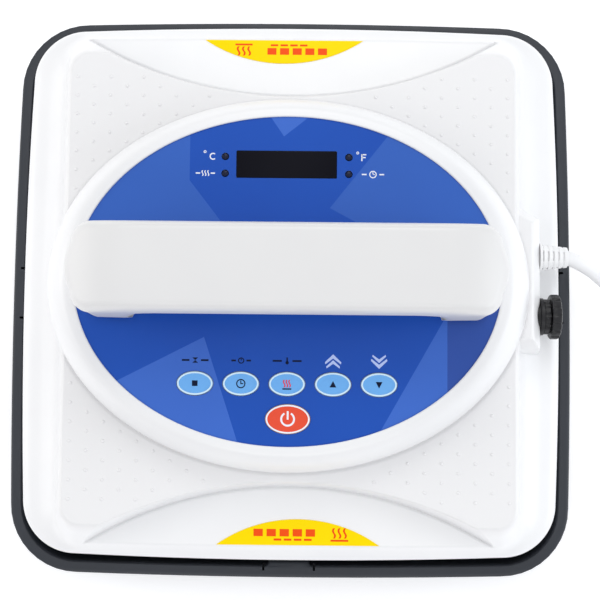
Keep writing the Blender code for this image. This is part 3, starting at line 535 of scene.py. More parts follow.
def outline_mesh(name, outlines, low, high, edge=0.0, rounding=1):
    """A flat or profiled solid from closed outlines; the inner ones are holes."""
    curve = bpy.data.curves.new(name, "CURVE")
    curve.dimensions = "2D"
    curve.fill_mode = "BOTH"
    curve.extrude = ((high - low) / 2 - edge) * MM
    curve.bevel_depth = edge * MM
    curve.bevel_resolution = rounding
    curve.offset = -edge * MM
    for outline in outlines:
        spline = curve.splines.new("POLY")
        spline.points.add(len(outline) - 1)
        for point, (x, y) in zip(spline.points, outline):
            point.co = (x * MM, y * MM, 0, 1)
        spline.use_cyclic_u = True
    obj = added(name, curve)
    mesh = evaluated_mesh(obj)
    bpy.data.objects.remove(obj, do_unlink=True)
    mesh.name = name
    with edited(mesh) as bm:
        bmesh.ops.remove_doubles(bm, verts=bm.verts, dist=0.000001)
        bmesh.ops.recalc_face_normals(bm, faces=bm.faces)
    mesh.transform(Matrix.Translation((0, 0, (low + high) / 2 * MM)))
    return mesh


def evaluated_mesh(obj):
    bpy.context.view_layer.update()
    graph = bpy.context.evaluated_depsgraph_get()
    return bpy.data.meshes.new_from_object(obj.evaluated_get(graph))


def plan_grid(xs, ys, half_x, half_y, radius, bow_x=0, bow_y=0):
    """A grid over a rounded rectangle: its border follows the outline exactly."""
    x, y = np.meshgrid(xs, ys)
    level = np.maximum(np.abs(x) / half_x, np.abs(y) / half_y)
    pull = np.clip((level - 0.7) / 0.3, 0, 1)
    pull = pull * pull * (3 - 2 * pull)
    stretch = np.where(level > 0, 1 / np.maximum(level, 1e-9), 0)
    edge_x, edge_y = x * stretch, y * stretch
    form = (half_x, half_y, radius, bow_x, bow_y)
    low, high = np.zeros_like(x), np.ones_like(x)
    for _ in range(30):
        halfway = (low + high) / 2
        inside = rounded_distance(edge_x * halfway, edge_y * halfway, *form) < 0
        low, high = np.where(inside, halfway, low), np.where(inside, high, halfway)
    share = 1 + (high - 1) * pull
    return x * share, y * share


def border_of(rows, columns):
    """The border of a grid, anticlockwise."""
    front = list(range(columns))
    right = [row * columns + columns - 1 for row in range(1, rows)]
    rear = [(rows - 1) * columns + column for column in range(columns - 2, -1, -1)]
    return front + right + rear + [row * columns for row in range(rows - 2, 0, -1)]


# The white shell


def section_distance(x, y, section):
    half_x, half_y, radius, bow, shift = section[:5]
    return rounded_distance(x, y - shift, half_x, half_y, radius, bow, bow)


def form_height(x, y, sections):
    """Height of the nested sections over each point."""
    height = np.full(x.shape, sections[-1][5])
    outer = section_distance(x, y, sections[0])
    height = np.where(outer >= 0, sections[0][5], height)
    for low, high in zip(sections, sections[1:]):
        inner = section_distance(x, y, high)
        between = (outer < 0) & (inner >= 0)
        share = -outer / np.maximum(inner - outer, 1e-9)
        height = np.where(between, low[5] + share * (high[5] - low[5]), height)
        outer = inner
    return height


def crescent_reach(x, y):
    """How far inside the crescent's arc, towards the pad, a point is."""
    end_x, end_y = CREST_END
    rise = end_y - CREST_MIDDLE
    radius = (end_x**2 + rise**2) / (2 * rise)
    return np.hypot(x, np.abs(y) - (CREST_MIDDLE + radius)) - radius


def crescent_floor(y):
    """Height of the crescent's sloping floor."""
    edge_y, edge_z = CREST_EDGE
    return edge_z + CREST_SLOPE * (edge_y - np.abs(y))


def crescent_height(x, y):
    """The crescent's floor, the seam round it and the wall that rises from its arc."""
    reach = crescent_reach(x, y)
    wall = smooth_max(reach, 0, 0.6) / CREST_SLANT
    return crescent_floor(y) + wall - SEAM_DEPTH * groove(reach - SEAM_REACH, SEAM_WIDTH)


def outlet_height(x, y):
    """The chamfered block that the cord and the fuse holder leave from."""
    front, rear = OUTLET_ENDS
    run, rise = OUTLET_CUT
    over = x - (OUTLET_FACE - OUTLET_CHAMFER)
    corner = (rise * over + run * (y - rear)) / math.hypot(run, rise)
    past = np.maximum(np.maximum(over, corner), front - y)
    chamfer = 1.6 * smooth_max(past, 0, 1.2)
    wall = 12 * smooth_max(past - OUTLET_CHAMFER, 0, 0.6)
    inner = 40 * np.maximum(90 - x, 0)
    return OUTLET_TOP - chamfer - wall - inner


def oval_reach(x, y, reach):
    """How far outside an oval of the bezel's proportions, roughly."""
    x, y = x - OVAL_CENTRE[0], y - OVAL_CENTRE[1]
    return (np.hypot(x, y / BEZEL_RATIO) - reach) * BEZEL_RATIO


def shell_height(x, y):
    height = form_height(x, y, curve_through(SHELL_SECTIONS, 8))
    height = smooth_min(height, crescent_height(x, y), 0.8)
    height = smooth_max(height, outlet_height(x, y), 1.2)
    height = height - 0.7 * groove(oval_reach(x, y, BEZEL_REACH + 0.2), 0.9)
    pedestal = BEZEL_LOW.z - 0.4 - 9 * smooth_max(oval_reach(x, y, BEZEL_REACH - 0.6), 0, 0.3)
    return smooth_max(height, pedestal, 0.3)


def near_crease(x, y):
    """Whether a point is close to a feature that needs a finer grid."""
    by_bezel = np.abs(oval_reach(x, y, BEZEL_REACH + 0.4)) < 2.2
    crest = crescent_reach(x, y)
    in_crescents = np.abs(y) > 92
    by_crescent = (crest > -2) & (crest < 4) & (np.abs(x) < 99) & in_crescents
    by_outlet = (x > 104) & (x < 121.5) & (y > -30) & (y < 42)
    by_pad = (np.abs(rounded_distance(x, y, 107, 112.6, 9.6)) < 2.2) & in_crescents
    return by_bezel | by_crescent | by_outlet | by_pad


def refined(points, faces, longest=0.55):
    """The flat grid with its edges halved near the creases."""
    bm = bmesh.new()
    verts = [bm.verts.new(point) for point in points]
    for face in faces:
        bm.faces.new([verts[i] for i in face])
    for _ in range(2):
        ends = np.array([[v.co[:2] for v in edge.verts] for edge in bm.edges])
        halfway = ends.mean(axis=1)
        length = np.linalg.norm(ends[:, 1] - ends[:, 0], axis=1)
        wanted = near_crease(halfway[:, 0], halfway[:, 1]) & (length > longest)
        edges = [edge for edge, want in zip(bm.edges, wanted) if want]
        bmesh.ops.subdivide_edges(bm, edges=edges, cuts=1, use_grid_fill=True)
    bm.verts.index_update()
    new_points = np.array([vert.co[:] for vert in bm.verts])
    new_faces = [tuple(vert.index for vert in face.verts) for face in bm.faces]
    bm.free()
    return new_points, new_faces


def make_shell():
    half_x, half_y, radius, bow, shift, rim_height = SHELL_SECTIONS[0]
    xs = spaced((0, 1.6), (98, 0.8), (104, 0.6), (121, 1), (127, 0.5), (130.6, 0.2), (half_x, 1))
    ys = spaced((0, 1.6), (86, 1), (110, 0.7), (130.6, 0.2), (half_y, 1))
    x, y = plan_grid(mirrored(xs), mirrored(ys), half_x, half_y, radius, bow, bow)
    points = np.stack([x, y + shift, np.zeros_like(x)], -1).reshape(-1, 3)
    hidden = oval_reach(points[:, 0], points[:, 1], OPENING_REACH) < 0
    faces = [face for face in grid_faces(*x.shape) if not all(hidden[i] for i in face)]
    above = border_of(*x.shape)
    points, faces = refined(points, faces)
    points[:, 2] = shell_height(points[:, 0], points[:, 1])
    points[above, 2] = rim_height
    rim = points[above]
    low = SHELL_LOW.z
    taper = (1 - SKIRT_REACH / half_x) / (rim_height - low)
    skirt = [(0, 37), (0, 31), (0, 24), (0, low + 0.8), (0.4, low)]
    skirt += [(2.2, low), (2.5, low + 0.8), (2.5, low + 12)]
    all_points = [tuple(point) for point in points]
    for inset, height in skirt:
        start = len(all_points)
        drop = rim_height - height
        share = 1 - taper * drop - inset / half_x
        back = shift + (SKIRT_SHIFT - shift) * drop / (rim_height - low)
        all_points += [(px * share, (py - shift) * share + back, height) for px, py, _ in rim]
        below = list(range(start, start + len(above)))
        for i in range(len(above)):
            j = (i + 1) % len(above)
            faces.append((below[i], below[j], above[j], above[i]))
        above = below
    shape = (all_points, faces)
    shell = piece("shell_moulding", shape, "shell_white", "press", "upper_shell", 75)
    with edited(shell.data) as bm:
        loose = [vert for vert in bm.verts if not vert.link_faces]
        bmesh.ops.delete(bm, geom=loose, context="VERTS")


def make_nubs():
    """Rows of small domes on the four corner pads."""
    places = []
    for column in range(9):
        for row in range(-1, 7):
            x = NUB_FIRST[0] - NUB_COLUMN * column
            y = NUB_FIRST[1] + NUB_ROW * (row + 0.5 * (column % 2))
            clear_of_edge = rounded_distance(x, y, *PAD_FORM) < -2.6
            clear_of_bezel = oval_reach(x, y, BEZEL_REACH) > 3.2
            clear_of_crescent = crescent_height(x, y) > 90 and y < 101
            if clear_of_edge and clear_of_bezel and clear_of_crescent:
                places += [(x * i, y * j) for i in (1, -1) for j in (1, -1)]
    xs, ys = np.array(places).T
    turns = [math.pi / 2 * i / 5 for i in range(5)]
    profile = [(NUB_RADIUS * 1.02, -0.3)]
    profile += [(NUB_RADIUS * math.cos(t), NUB_HEIGHT * math.sin(t)) for t in turns]
    profile.append((0.02, NUB_HEIGHT))
    dome = spin(profile, 14)
    domes = [placed(dome, offset=place) for place in zip(xs, ys, shell_height(xs, ys))]
    piece("grip_nubs", joined(domes), "shell_white")


# Bezel, panel and keys


def make_bezel():
    """A rounded oval frame whose lip just covers the edge of the printed film."""
    top, low = BEZEL_HIGH.z, BEZEL_LOW.z - 1.6
    ledge = PLATE_LOW.z - 0.3
    lip = FILM_REACH - 0.1
    foot = ((0.6, 0), (0, 0.6), (0, 2.8))
    flank = ((0.5, 17.2), (1.6, 12.8), (3.4, 8.6), (5.8, 4.8), (8.4, 2), (10.8, 0.5))
    edge = ((1.6, 0.05), (0.7, 0), (0.15, 0.2), (0, 0.5))
    outer = [(BEZEL_REACH - inset, low + rise) for inset, rise in foot]
    outer += [(BEZEL_REACH - inset, top - drop) for inset, drop in flank]
    outer += [(lip + back, top - drop) for back, drop in edge]
    profile = [tuple(point) for point in curve_through(outer, 4)]
    profile += [(lip, FILM_HIGH.z + 0.1), (FILM_REACH + 0.3, FILM_HIGH.z + 0.05)]
    profile += [(FILM_REACH + 0.3, ledge), (FILM_REACH - 5, ledge), (FILM_REACH - 5, ledge - 2.4)]
    profile += [(BEZEL_REACH - 7, low + 13), (BEZEL_REACH - 3, low)]
    points, faces = spin(profile, 220, closed=True)
    points = np.array(points)
    reach = np.hypot(points[:, 0], points[:, 1]) - FILM_REACH
    share = np.clip(reach / (BEZEL_REACH - FILM_REACH), 0, 1)
    points[:, 1] *= FILM_RATIO + (BEZEL_RATIO - FILM_RATIO) * share
    shape = placed((points, faces), offset=(*OVAL_CENTRE, 0))
    piece("bezel_moulding", shape, "bezel_white", "press", "bezel_ring", 50)


KEYS = ("key_mode", "key_timer", "key_heat", "key_up", "key_down", "key_power")
LAMPS = [f"indicator_{i}" for i in range(1, 5)]


def key_radius(name):
    """The longer radius of an oval key."""
    low, high = box(name)
    return (high.x - low.x) / 2


# Facets of the printed film: material and convex outline, anticlockwise
FACETS = (
    ("film_light", ((-100, 0), (-11, 0), (-31.4, 27.1), (-46.2, 46.2), (-100, 46.2))),
    ("film_light", ((-100, 46.2), (-46.2, 46.2), (-46.1, 90), (-100, 90))),
    ("film_pale", ((-3.3, 66.8), (14.4, 81), (-13, 81))),
    ("film_light", ((17.9, 33.9), (70, 6), (110, 6), (110, 90), (62, 90))),
    ("film_pale", ((-38.4, -25.3), (-100, -57), (-100, -95), (-15.3, -95))),
    ("film_pale", ((71.3, -14), (22, -101), (71.3, -101))),
    ("film_dark", ((71.3, 0), (71.3, -101), (110, -101), (110, 0))),
)


def sides_of(outline):
    return zip(outline, outline[1:] + outline[:1])


def make_film():
    outlines = [oval(FILM_REACH, FILM_RATIO, OVAL_CENTRE, 160)]
    for name in KEYS:
        radius, gap = key_radius(name), 0.3
        ratio = (radius * KEY_RATIO + gap) / (radius + gap)
        outlines.append(oval(radius + gap, ratio, middle(name)))
    outlines += [oval(LAMP_RADIUS + 0.2, 1, middle(name), 24) for name in LAMPS]
    outlines.append(fillet(rectangle(WINDOW_LOW, WINDOW_HIGH), [0.5] * 4, 3))
    mesh = outline_mesh("panel_print", outlines, FILM_LOW.z, FILM_HIGH.z)
    looks = ["film_blue"] + sorted({look for look, _ in FACETS})
    with edited(mesh) as bm:
        for _, outline in FACETS:
            for start, end in sides_of(outline):
                across = Vector((end[1] - start[1], start[0] - end[0], 0))
                sliced(bm, (*start, 0), across.normalized())
        for face in bm.faces:
            centre = face.calc_center_median() / MM
            for look, outline in FACETS:
                if within(centre, outline):
                    face.material_index = looks.index(look)
    piece("panel_print", mesh, looks, "press", "panel_film", 30)


def within(point, outline):
    """Whether a point is inside a convex outline, in either direction of travel."""
    sides = [
        (end[0] - start[0]) * (point.y - start[1]) - (end[1] - start[1]) * (point.x - start[0])
        for start, end in sides_of(outline)
    ]
    return all(side > 0 for side in sides) or all(side < 0 for side in sides)


def ink(name, shapes, height, look, body="press"):
    """Printed marks as one thin piece; shapes are lists of outlines, holes after the first."""
    whole = bpy.data.meshes.new(name)
    with edited(whole) as bm:
        for i, outlines in enumerate(shapes):
            mesh = outline_mesh(f"{name}_{i}", outlines, height - 0.02, height + 0.04)
            bm.from_mesh(mesh)
            bpy.data.meshes.remove(mesh)
    return piece(name, whole, look, body)


def bar(start, end, width):
    """A straight stroke."""
    start, end = Vector(start), Vector(end)
    side = (end - start).normalized().orthogonal() * width / 2
    corners = (start + side, start - side, end - side, end + side)
    return [[tuple(corner) for corner in corners]]


def dash(x, y, length, width):
    """A level stroke that starts at x."""
    return bar((x, y), (x + length, y), width)


def arc(centre, radius, first, last, width, count=20):
    """A stroke along part of a circle, between two angles in degrees."""
    turns = [math.radians(first + (last - first) * i / count) for i in range(count + 1)]
    x, y = centre
    points = []
    for reach, some in ((radius + width / 2, turns), (radius - width / 2, turns[::-1])):
        points += [(x + reach * math.cos(t), y + reach * math.sin(t)) for t in some]
    return [points]


def ring(centre, radius, ratio, width, count=48):
    outer = oval(radius, ratio, centre, count)
    inner_ratio = (radius * ratio - width) / (radius - width)
    return [outer, oval(radius - width, inner_ratio, centre, count)[::-1]]


def wave_stroke(x, low, high, width, sway, count=12):
    """An upright wavy stroke, like rising heat."""
    shares = [i / count for i in range(count + 1)]
    line = [(x + sway * math.sin(2 * math.pi * t), low + (high - low) * t) for t in shares]
    left = [(px - width / 2, py) for px, py in line]
    return [left + [(px + width / 2, py) for px, py in line[::-1]]]


def chevron(x, y, half, rise, width, sign):
    """A wide arrowhead that points up where the sign is 1 and down where it is -1."""
    tip, base = y + sign * rise / 2, y - sign * rise / 2
    drop, inner = sign * width * 1.25, half - 0.2
    near = [(x - half, base), (x, tip), (x + half, base)]
    return [near + [(x + inner, base - drop / 2), (x, tip - drop), (x - inner, base - drop / 2)]]


def make_lamp_marks():
    """White marks beside the lamps: degrees C and F, rising heat and a clock."""
    left, high_row = middle(LAMPS[0])
    low_row = middle(LAMPS[1])[1]
    right = middle(LAMPS[2])[0]
    stem = right + 5.9
    clock = (right + 11, low_row)
    marks = [ring((x, high_row + 2.1), 0.65, 1, 0.35, 20) for x in (left - 9.3, right + 4.0)]
    marks.append(arc((left - 5.6, high_row), 1.35, 50, 310, 0.55))
    marks.append(bar((stem, high_row - 1.6), (stem, high_row + 1.6), 0.55))
    marks.append(dash(stem, high_row + 1.33, 2, 0.52))
    marks.append(dash(stem, high_row, 1.7, 0.5))
    for x in (-1.3, 0, 1.3):
        marks.append(wave_stroke(left - 9 + x, low_row - 1.3, low_row + 1.3, 0.5, 0.25))
    marks.append(ring(clock, 1.7, 1, 0.45, 28))
    marks.append(bar(clock, (clock[0], clock[1] + 1.1), 0.4))
    marks.append(dash(*clock, 0.8, 0.4))
    marks += [dash(x, low_row, 2, 0.6) for x in (left - 13.4, left - 6.6)]
    marks += [dash(x, low_row, 2.2, 0.6) for x in (stem, stem + 8)]
    ink("panel_marks_white", marks, FILM_HIGH.z, "ink_white")


def make_key_marks():
    """Pale chevrons and navy signs in a row over the keys."""
    row = middle("key_mode")[1] + 10.4
    pale = []
    for name, sign in (("key_up", 1), ("key_down", -1)):
        x = middle(name)[0]
        pale.append(chevron(x, row + 1.4 * sign, 3.7, 3.6, 1.5, sign))
        pale.append(chevron(x, row - 0.9 * sign, 3.1, 2.9, 1.3, sign))
    ink("panel_marks_pale", pale, FILM_HIGH.z, "ink_pale")
    mode, timer, heat = (middle(name)[0] for name in KEYS[:3])
    navy = [
        [[(mode - 1.3, row + 1.2), (mode + 1.3, row + 1.2), (mode, row)]],
        [[(mode - 1.3, row - 1.2), (mode + 1.3, row - 1.2), (mode, row)]],
        ring((timer, row), 1.4, 1, 0.45, 28),
        bar((timer, row), (timer, row + 0.9), 0.4),
        [oval(0.75, 1, (heat, row - 0.8), 20)],
        bar((heat, row - 0.6), (heat, row + 1.6), 0.6),
    ]
    for x, near, far in ((mode, 2.6, 6), (timer, 2.4, 4.4), (heat, 2.4, 6.5)):
        navy += [dash(start, row, far - near, 0.8) for start in (x - far, x + near)]
    ink("panel_marks_navy", navy, FILM_HIGH.z, "ink_navy")


def make_keys():
    low = FILM_LOW.z + 0.4
    for name in KEYS:
        radius, centre, high = key_radius(name), middle(name), box(name)[1].z
        is_power = name == "key_power"
        slot = "key_red" if is_power else "key_blue"
        profile = [
            (radius - 0.4, low),
            (radius, low + 0.15),
            (radius, high - 0.28),
            (radius - 0.12, high - 0.1),
            (radius - 0.4, high),
            (radius - 0.95, high),
            (radius - 1.05, high - 0.05),
            (radius * 0.6, high + 0.02),
            (radius * 0.3, high + 0.05),
            (0.05, high + 0.06),
        ]
        pad = placed(spin(profile, 64), offset=(*centre, 0), scale=(1, KEY_RATIO, 1))
        piece(f"{name}_pad", pad, slot, name, name)
        rim = ring(centre, radius - 0.12, KEY_RATIO, 0.72)
        ink(f"{name}_rim", [rim], high, "ink_white" if is_power else "key_rim", name)
        icon_look = "ink_white" if is_power else "ink_navy"
        ink(f"{name}_icon", key_icon(name, *centre), high + 0.06, icon_look, name)
        if name == "key_heat":
            x, y = centre
            waves = [wave_stroke(x + i * 1.2, y - 1.5, y + 1.9, 0.6, 0.32) for i in (-1, 0, 1)]
            ink("key_heat_waves", waves, high + 0.06, "ink_red", name)


def key_icon(name, x, y):
    """A plain sign: square, clock, line under the heat, arrowheads and power."""
    return {
        "key_mode": [dash(x - 1.25, y, 2.5, 2.5)],
        "key_timer": [
            ring((x, y), 2.1, 1, 0.5, 32),
            bar((x, y - 0.2), (x, y + 1.4), 0.45),
            dash(x - 0.2, y, 1.3, 0.45),
        ],
        "key_heat": [dash(x - 2, y - 2.2, 4, 0.6)],
        "key_up": [[[(x - 1.5, y - 1.3), (x + 1.5, y - 1.3), (x, y + 1.6)]]],
        "key_down": [[[(x - 1.5, y + 1.3), (x, y - 1.6), (x + 1.5, y + 1.3)]]],
        "key_power": [arc((x, y), 2.9, 120, 420, 0.85), bar((x, y - 0.2), (x, y + 3.6), 0.85)],
    }[name]


def make_window():
    low, high = WINDOW_LOW, WINDOW_HIGH
    outline = fillet(rectangle(low, high, 0.1), [0.5] * 4, 4)
    mesh = outline_mesh("window_pane", [outline], low.z, high.z, 0.08)
    piece("window_pane", mesh, "window_dark", "press", "display_window")
    turns = [math.pi / 2 * i / 6 for i in range(1, 6)]
    for name in LAMPS:
        top = box(name)[1].z
        edge = top - 0.6
        profile = [(LAMP_RADIUS, FILM_LOW.z), (LAMP_RADIUS, edge)]
        profile += [(LAMP_RADIUS * math.cos(t), edge + 0.55 * math.sin(t)) for t in turns]
        profile.append((0.03, top - 0.05))
        lens = placed(spin(profile, 24), offset=(*middle(name), 0))
        piece(f"{name}_lens", lens, "lamp_dark", "press", name)


# Handle


def make_handle():
    """The cover over the grip: rolled edges, a slight crown, and ends that bend down."""
    centre_x, centre_y = middle("handle_top")[0], middle("handle_bottom")[1]
    half_x, half_y = (GRIP_HIGH - GRIP_LOW).xy / 2
    low, top = COVER_LOW.z, COVER_HIGH.z
    form = (half_x, half_y, HANDLE_CORNER, HANDLE_BOW)
    half_long = spaced((0, 2), (60, 1), (80, 0.7), (88, 0.35), (half_x - 0.6, 0.12), (half_x, 1))
    half_wide = spaced((0, 1.2), (11, 0.6), (half_y - 2.4, 0.3), (half_y - 0.6, 0.12), (half_y, 1))
    x, y = plan_grid(mirrored(half_long), mirrored(half_wide), *form)
    depth = np.maximum(-rounded_distance(x, y, *form), 0)
    roll, roundness = 4.6, 2.4
    share = np.clip(1 - depth / roll, 0, 1)
    edge = (1 - share**roundness) ** (1 / roundness)
    crown = 0.5 * (y / half_y) ** 2
    bend_start = 66
    bend = 9.5 * np.clip((np.abs(x) - bend_start) / (half_x - bend_start), 0, 1) ** 2.1
    z = low + edge * (top - low - crown - bend)
    points = np.stack([x + centre_x, y + centre_y, z], -1).reshape(-1, 3)
    faces = grid_faces(*x.shape)
    faces.append(tuple(border_of(*x.shape)[::-1]))
    shape = (points, faces)
    piece("handle_cover", shape, "handle_white", "press", "handle_top", 60)
    make_grip(centre_x, centre_y, half_x, half_y)


def make_grip(centre_x, centre_y, half_x, half_y):
    """The lower half: underside of the grip and both legs, cut flat at the split."""
    foot, split = GRIP_LOW.z, GRIP_HIGH.z
    inner, outer, underside = 67, 91, 121
    left = [(-half_x, split + 20), (-half_x, split), (-outer, foot), (-inner, foot)]
    left.append((-inner - 1, underside))
    radii = [0, 0, 2, 2, 13]
    outline = fillet(left + [(-x, z) for x, z in left[::-1]], radii + radii[::-1], 10)
    mesh = outline_mesh("handle_grip", [outline], -half_y, half_y, 6, 5)
    mesh.transform(Matrix.Rotation(math.pi / 2, 4, "X"))
    mesh.transform(Matrix.Translation((centre_x * MM, centre_y * MM, 0)))
    with edited(mesh) as bm:
        for height, side in ((split, "clear_outer"), (foot + 0.02, "clear_inner")):
            cut = sliced(bm, (0, 0, height), (0, 0, 1), **{side: True})["geom_cut"]
            edges = [item for item in cut if isinstance(item, bmesh.types.BMEdge)]
            bmesh.ops.triangle_fill(bm, use_beauty=True, edges=edges)
        for share in (-0.6, -0.4, -0.2, 0, 0.2, 0.4, 0.6):
            sliced(bm, (0, centre_y + share * half_y, 0), (0, 1, 0))
        squeeze(bm, centre_x, centre_y, (half_x - 0.15, half_y - 0.15, HANDLE_CORNER, HANDLE_BOW))
        bmesh.ops.recalc_face_normals(bm, faces=bm.faces)
    piece("handle_grip", mesh, "handle_white", "press", "handle_bottom", 35)


def squeeze(bm, centre_x, centre_y, form):
    """Moves what lies outside a rounded plan onto its outline."""
    places = np.array([vert.co[:] for vert in bm.verts]) / MM
    x, y = places[:, 0] - centre_x, places[:, 1] - centre_y
    step = 0.1
    for _ in range(4):
        over = np.maximum(rounded_distance(x, y, *form), 0) / (2 * step)
        slope_x = rounded_distance(x + step, y, *form) - rounded_distance(x - step, y, *form)
        slope_y = rounded_distance(x, y + step, *form) - rounded_distance(x, y - step, *form)
        x, y = x - over * slope_x, y - over * slope_y
    for vert, px, py in zip(bm.verts, x, y):
        vert.co.x, vert.co.y = (px + centre_x) * MM, (py + centre_y) * MM


# Tray


def bowed_square(half, radius, bow, side_points=11, steps=10):
    """A rounded square whose sides bow out by bow to reach half at their middles."""
    straight = half - bow - radius
    outline = []
    for quarter in range(4):
        angle = math.pi / 2 * quarter
        along = np.array((-math.sin(angle), math.cos(angle)))
        out = np.array((math.cos(angle), math.sin(angle)))
        for i in range(side_points):
            share = 2 * (i + 1) / (side_points + 1) - 1
            outline.append(tuple(out * (half - bow * share**2) + along * straight * share))
        centre = (out + along) * straight
        for step in range(steps + 1):
            turn = angle + math.pi / 2 * step / steps
            outline.append(tuple(centre + np.array((math.cos(turn), math.sin(turn))) * radius))
    return outline


def apply_boolean(obj, cutters, operation):
    """Applies a Boolean with each cutter to a mesh object, and removes the cutters."""
    for cutter in cutters:
        modifier = obj.modifiers.new("cut", "BOOLEAN")
        modifier.operation = operation
        modifier.object = cutter
    mesh = evaluated_mesh(obj)
    obj.modifiers.clear()
    obj.data = mesh
    for cutter in cutters:
        bpy.data.objects.remove(cutter, do_unlink=True)


def helper(name, shape):
    """A plain mesh object used only to cut or join."""
    mesh = plain_mesh(name, shape)
    with edited(mesh) as bm:
        bmesh.ops.recalc_face_normals(bm, faces=bm.faces)
    return added(name, mesh)


def make_tray():
    half, top = TRAY_HIGH.x, TRAY_HIGH.z
    corner, rim, bow = 33.8, 5.5, 1.5
    outside = [(5.5, 2), (4.2, 2.2), (3.2, 3.4), (2.9, 5), (0.7, 24), (0.1, top - 4)]
    edge = [(0, top - 1.3), (0.3, top - 0.45), (1, top - 0.05), (1.8, top), (rim - 1.4, top)]
    edge += [(rim - 0.5, top - 0.15), (rim, top - 0.8), (rim + 0.25, top - 6)]
    inside = [(rim + 1, 8), (rim + 1.8, 5.9), (rim + 3.5, 5.05), (rim + 6, 5)]
    rings = []
    for inset, height in outside + edge + inside:
        outline = bowed_square(half - inset, corner - inset, bow)
        rings.append([(x, y, height) for x, y in outline])
    tray = piece("tray_moulding", loft(rings), "tray_grey", "tray", "base_tray", 35)
    joins = [helper("centre_pad", spin([(29, 0), (30, 0.4), (30, 3.2)], 64))]
    cuts = []
    slit_y, slit_half = 12.5, 0.55
    for quarter in range(4):
        turn = Matrix.Rotation(math.pi / 2 * quarter, 3, "Z")
        joins.append(helper(f"tab_{quarter}", placed(tab_shape(top), turn)))
        for y in (-slit_y, slit_y):
            slit = slab((131, half - 3.4), (y - slit_half, y + slit_half), (20, top + 1))
            cuts.append(helper("slit", placed(slit, turn)))
    apply_boolean(tray, joins, "UNION")
    apply_boolean(tray, cuts, "DIFFERENCE")
    tray.data.shade_smooth()
    tray.data.set_sharp_from_angle(angle=math.radians(35))


def slab(xs, ys, zs):
    """A box between two places along each axis."""
    x0, x1 = xs
    y0, y1 = ys
    return loft([[(x0, y0, z), (x1, y0, z), (x1, y1, z), (x0, y1, z)] for z in zs])


def tab_shape(top):
    """A centring tab on the +X side: narrower at its inner face, with a sloping lead-in."""
    half_wall, half_face = 12.0, 9.6
    wall, face = 136.0, 132.5
    rings = []
    for inset, height in ((0.6, 10), (0, 13), (0, top - 1.6), (0.5, top - 0.7), (1.2, top - 0.25)):
        x, half = face + inset, half_face - inset
        plan = ((x, -half), (wall, -half_wall), (wall, half_wall), (x, half))
        rings.append([(px, py, height) for px, py in plan])
    return loft(rings)


# Outlets, cord and plug


def at_outlet(shapes, y):
    """Shapes turned about Z, as one that points out of the outlet block at this Y."""
    return placed(joined(shapes), ALONG_X, (0, y, OUTLET_HEIGHT))


def make_strain_relief():
    """A flange against the block and a tapering sleeve with slots between its ribs."""
    start, end = OUTLET_START, box("strain_relief")[1].x
    flange = [(7.2, -0.3), (7.3, 0.2), (7.2, 0.5), (6.9, 0.7), (5.9, 0.8), (4.4, 0.9)]
    flange += [(3.85, 1.2), (3.85, -0.3)]
    tube = [(4.35, start + 0.8), (4.0, end - 1), (3.75, end - 0.2), (3.75, start)]
    shapes = [spin([(r, start + x) for r, x in flange], 48, closed=True)]
    shapes.append(spin(tube, 40, closed=True))
    first, pitch, width, bevel = 1.5, 2.5, 1.7, 0.15

    def reach_at(x):
        return 6.3 - 1.5 * (x - start) / (end - start)

    for i in range(5):
        near = start + first + pitch * i
        far = near + width
        rib = [(reach_at(near) - bevel, near), (reach_at(near), near + bevel)]
        rib += [(reach_at(far), far - bevel), (reach_at(far) - bevel, far), (3.9, far), (3.9, near)]
        shapes.append(spin(rib, 40, closed=True))
    rings = []
    for x in (start + 0.6, end - 1.4):
        reach = reach_at(x) - 0.35
        rings.append([(3.6, -1.7, x), (reach, -1.7, x), (reach, 1.7, x), (3.6, 1.7, x)])
    for turn in range(4):
        across = Matrix.Rotation(math.pi / 2 * turn + math.pi / 4, 3, "Z")
        shapes.append(placed(loft(rings), across))
    boot = at_outlet(shapes, CORD_Y)
    piece("strain_relief_boot", boot, "cord_white", "press", "strain_relief", 30)


def cord_path():
    """Out of the strain relief, over the tray's rim and down to the plug."""
    low, high = box("mains_plug")
    plug_x, plug_y, plug_z = (low.x + high.x) / 2, high.y, (low.z + high.z) / 2
    rest = CORD_RADIUS + 0.3
    keys = [(x, CORD_Y, OUTLET_HEIGHT) for x in (112, 124, 131.5)]
    keys += [
        (138.5, 14.4, 58.3),
        (149, 9.6, 50),
        (160, 3.5, 34),
        (169, -4, 16),
        (177, -15, rest + 1),
        (181.5, -32, rest),
        (182, -50, rest + 1),
        (plug_x, plug_y + 10, plug_z - 0.5),
        (plug_x, plug_y - 0.5, plug_z),
    ]
    return curve_through(keys, 10)


def sweep(path, radius, count):
    """A round tube along a path."""
    tangents = np.gradient(path, axis=0)
    tangents /= np.linalg.norm(tangents, axis=1)[:, None]
    side = Vector((0, 1, 0))
    rings = []
    for place, tangent in zip(path, tangents):
        along = Vector(tangent)
        side = (side - along * side.dot(along)).normalized()
        up = along.cross(side)
        spokes = [side * math.cos(turn) + up * math.sin(turn) for turn in around(count)]
        rings.append([tuple(Vector(place) + spoke * radius) for spoke in spokes])
    return loft(rings)


def make_cord():
    sheath = sweep(cord_path(), CORD_RADIUS, 28)
    bend = ("press", "tray", (138, 16, 59), (172, -4, 12))
    piece("cord_sheath", sheath, "cord_white", bend, "power_cord")


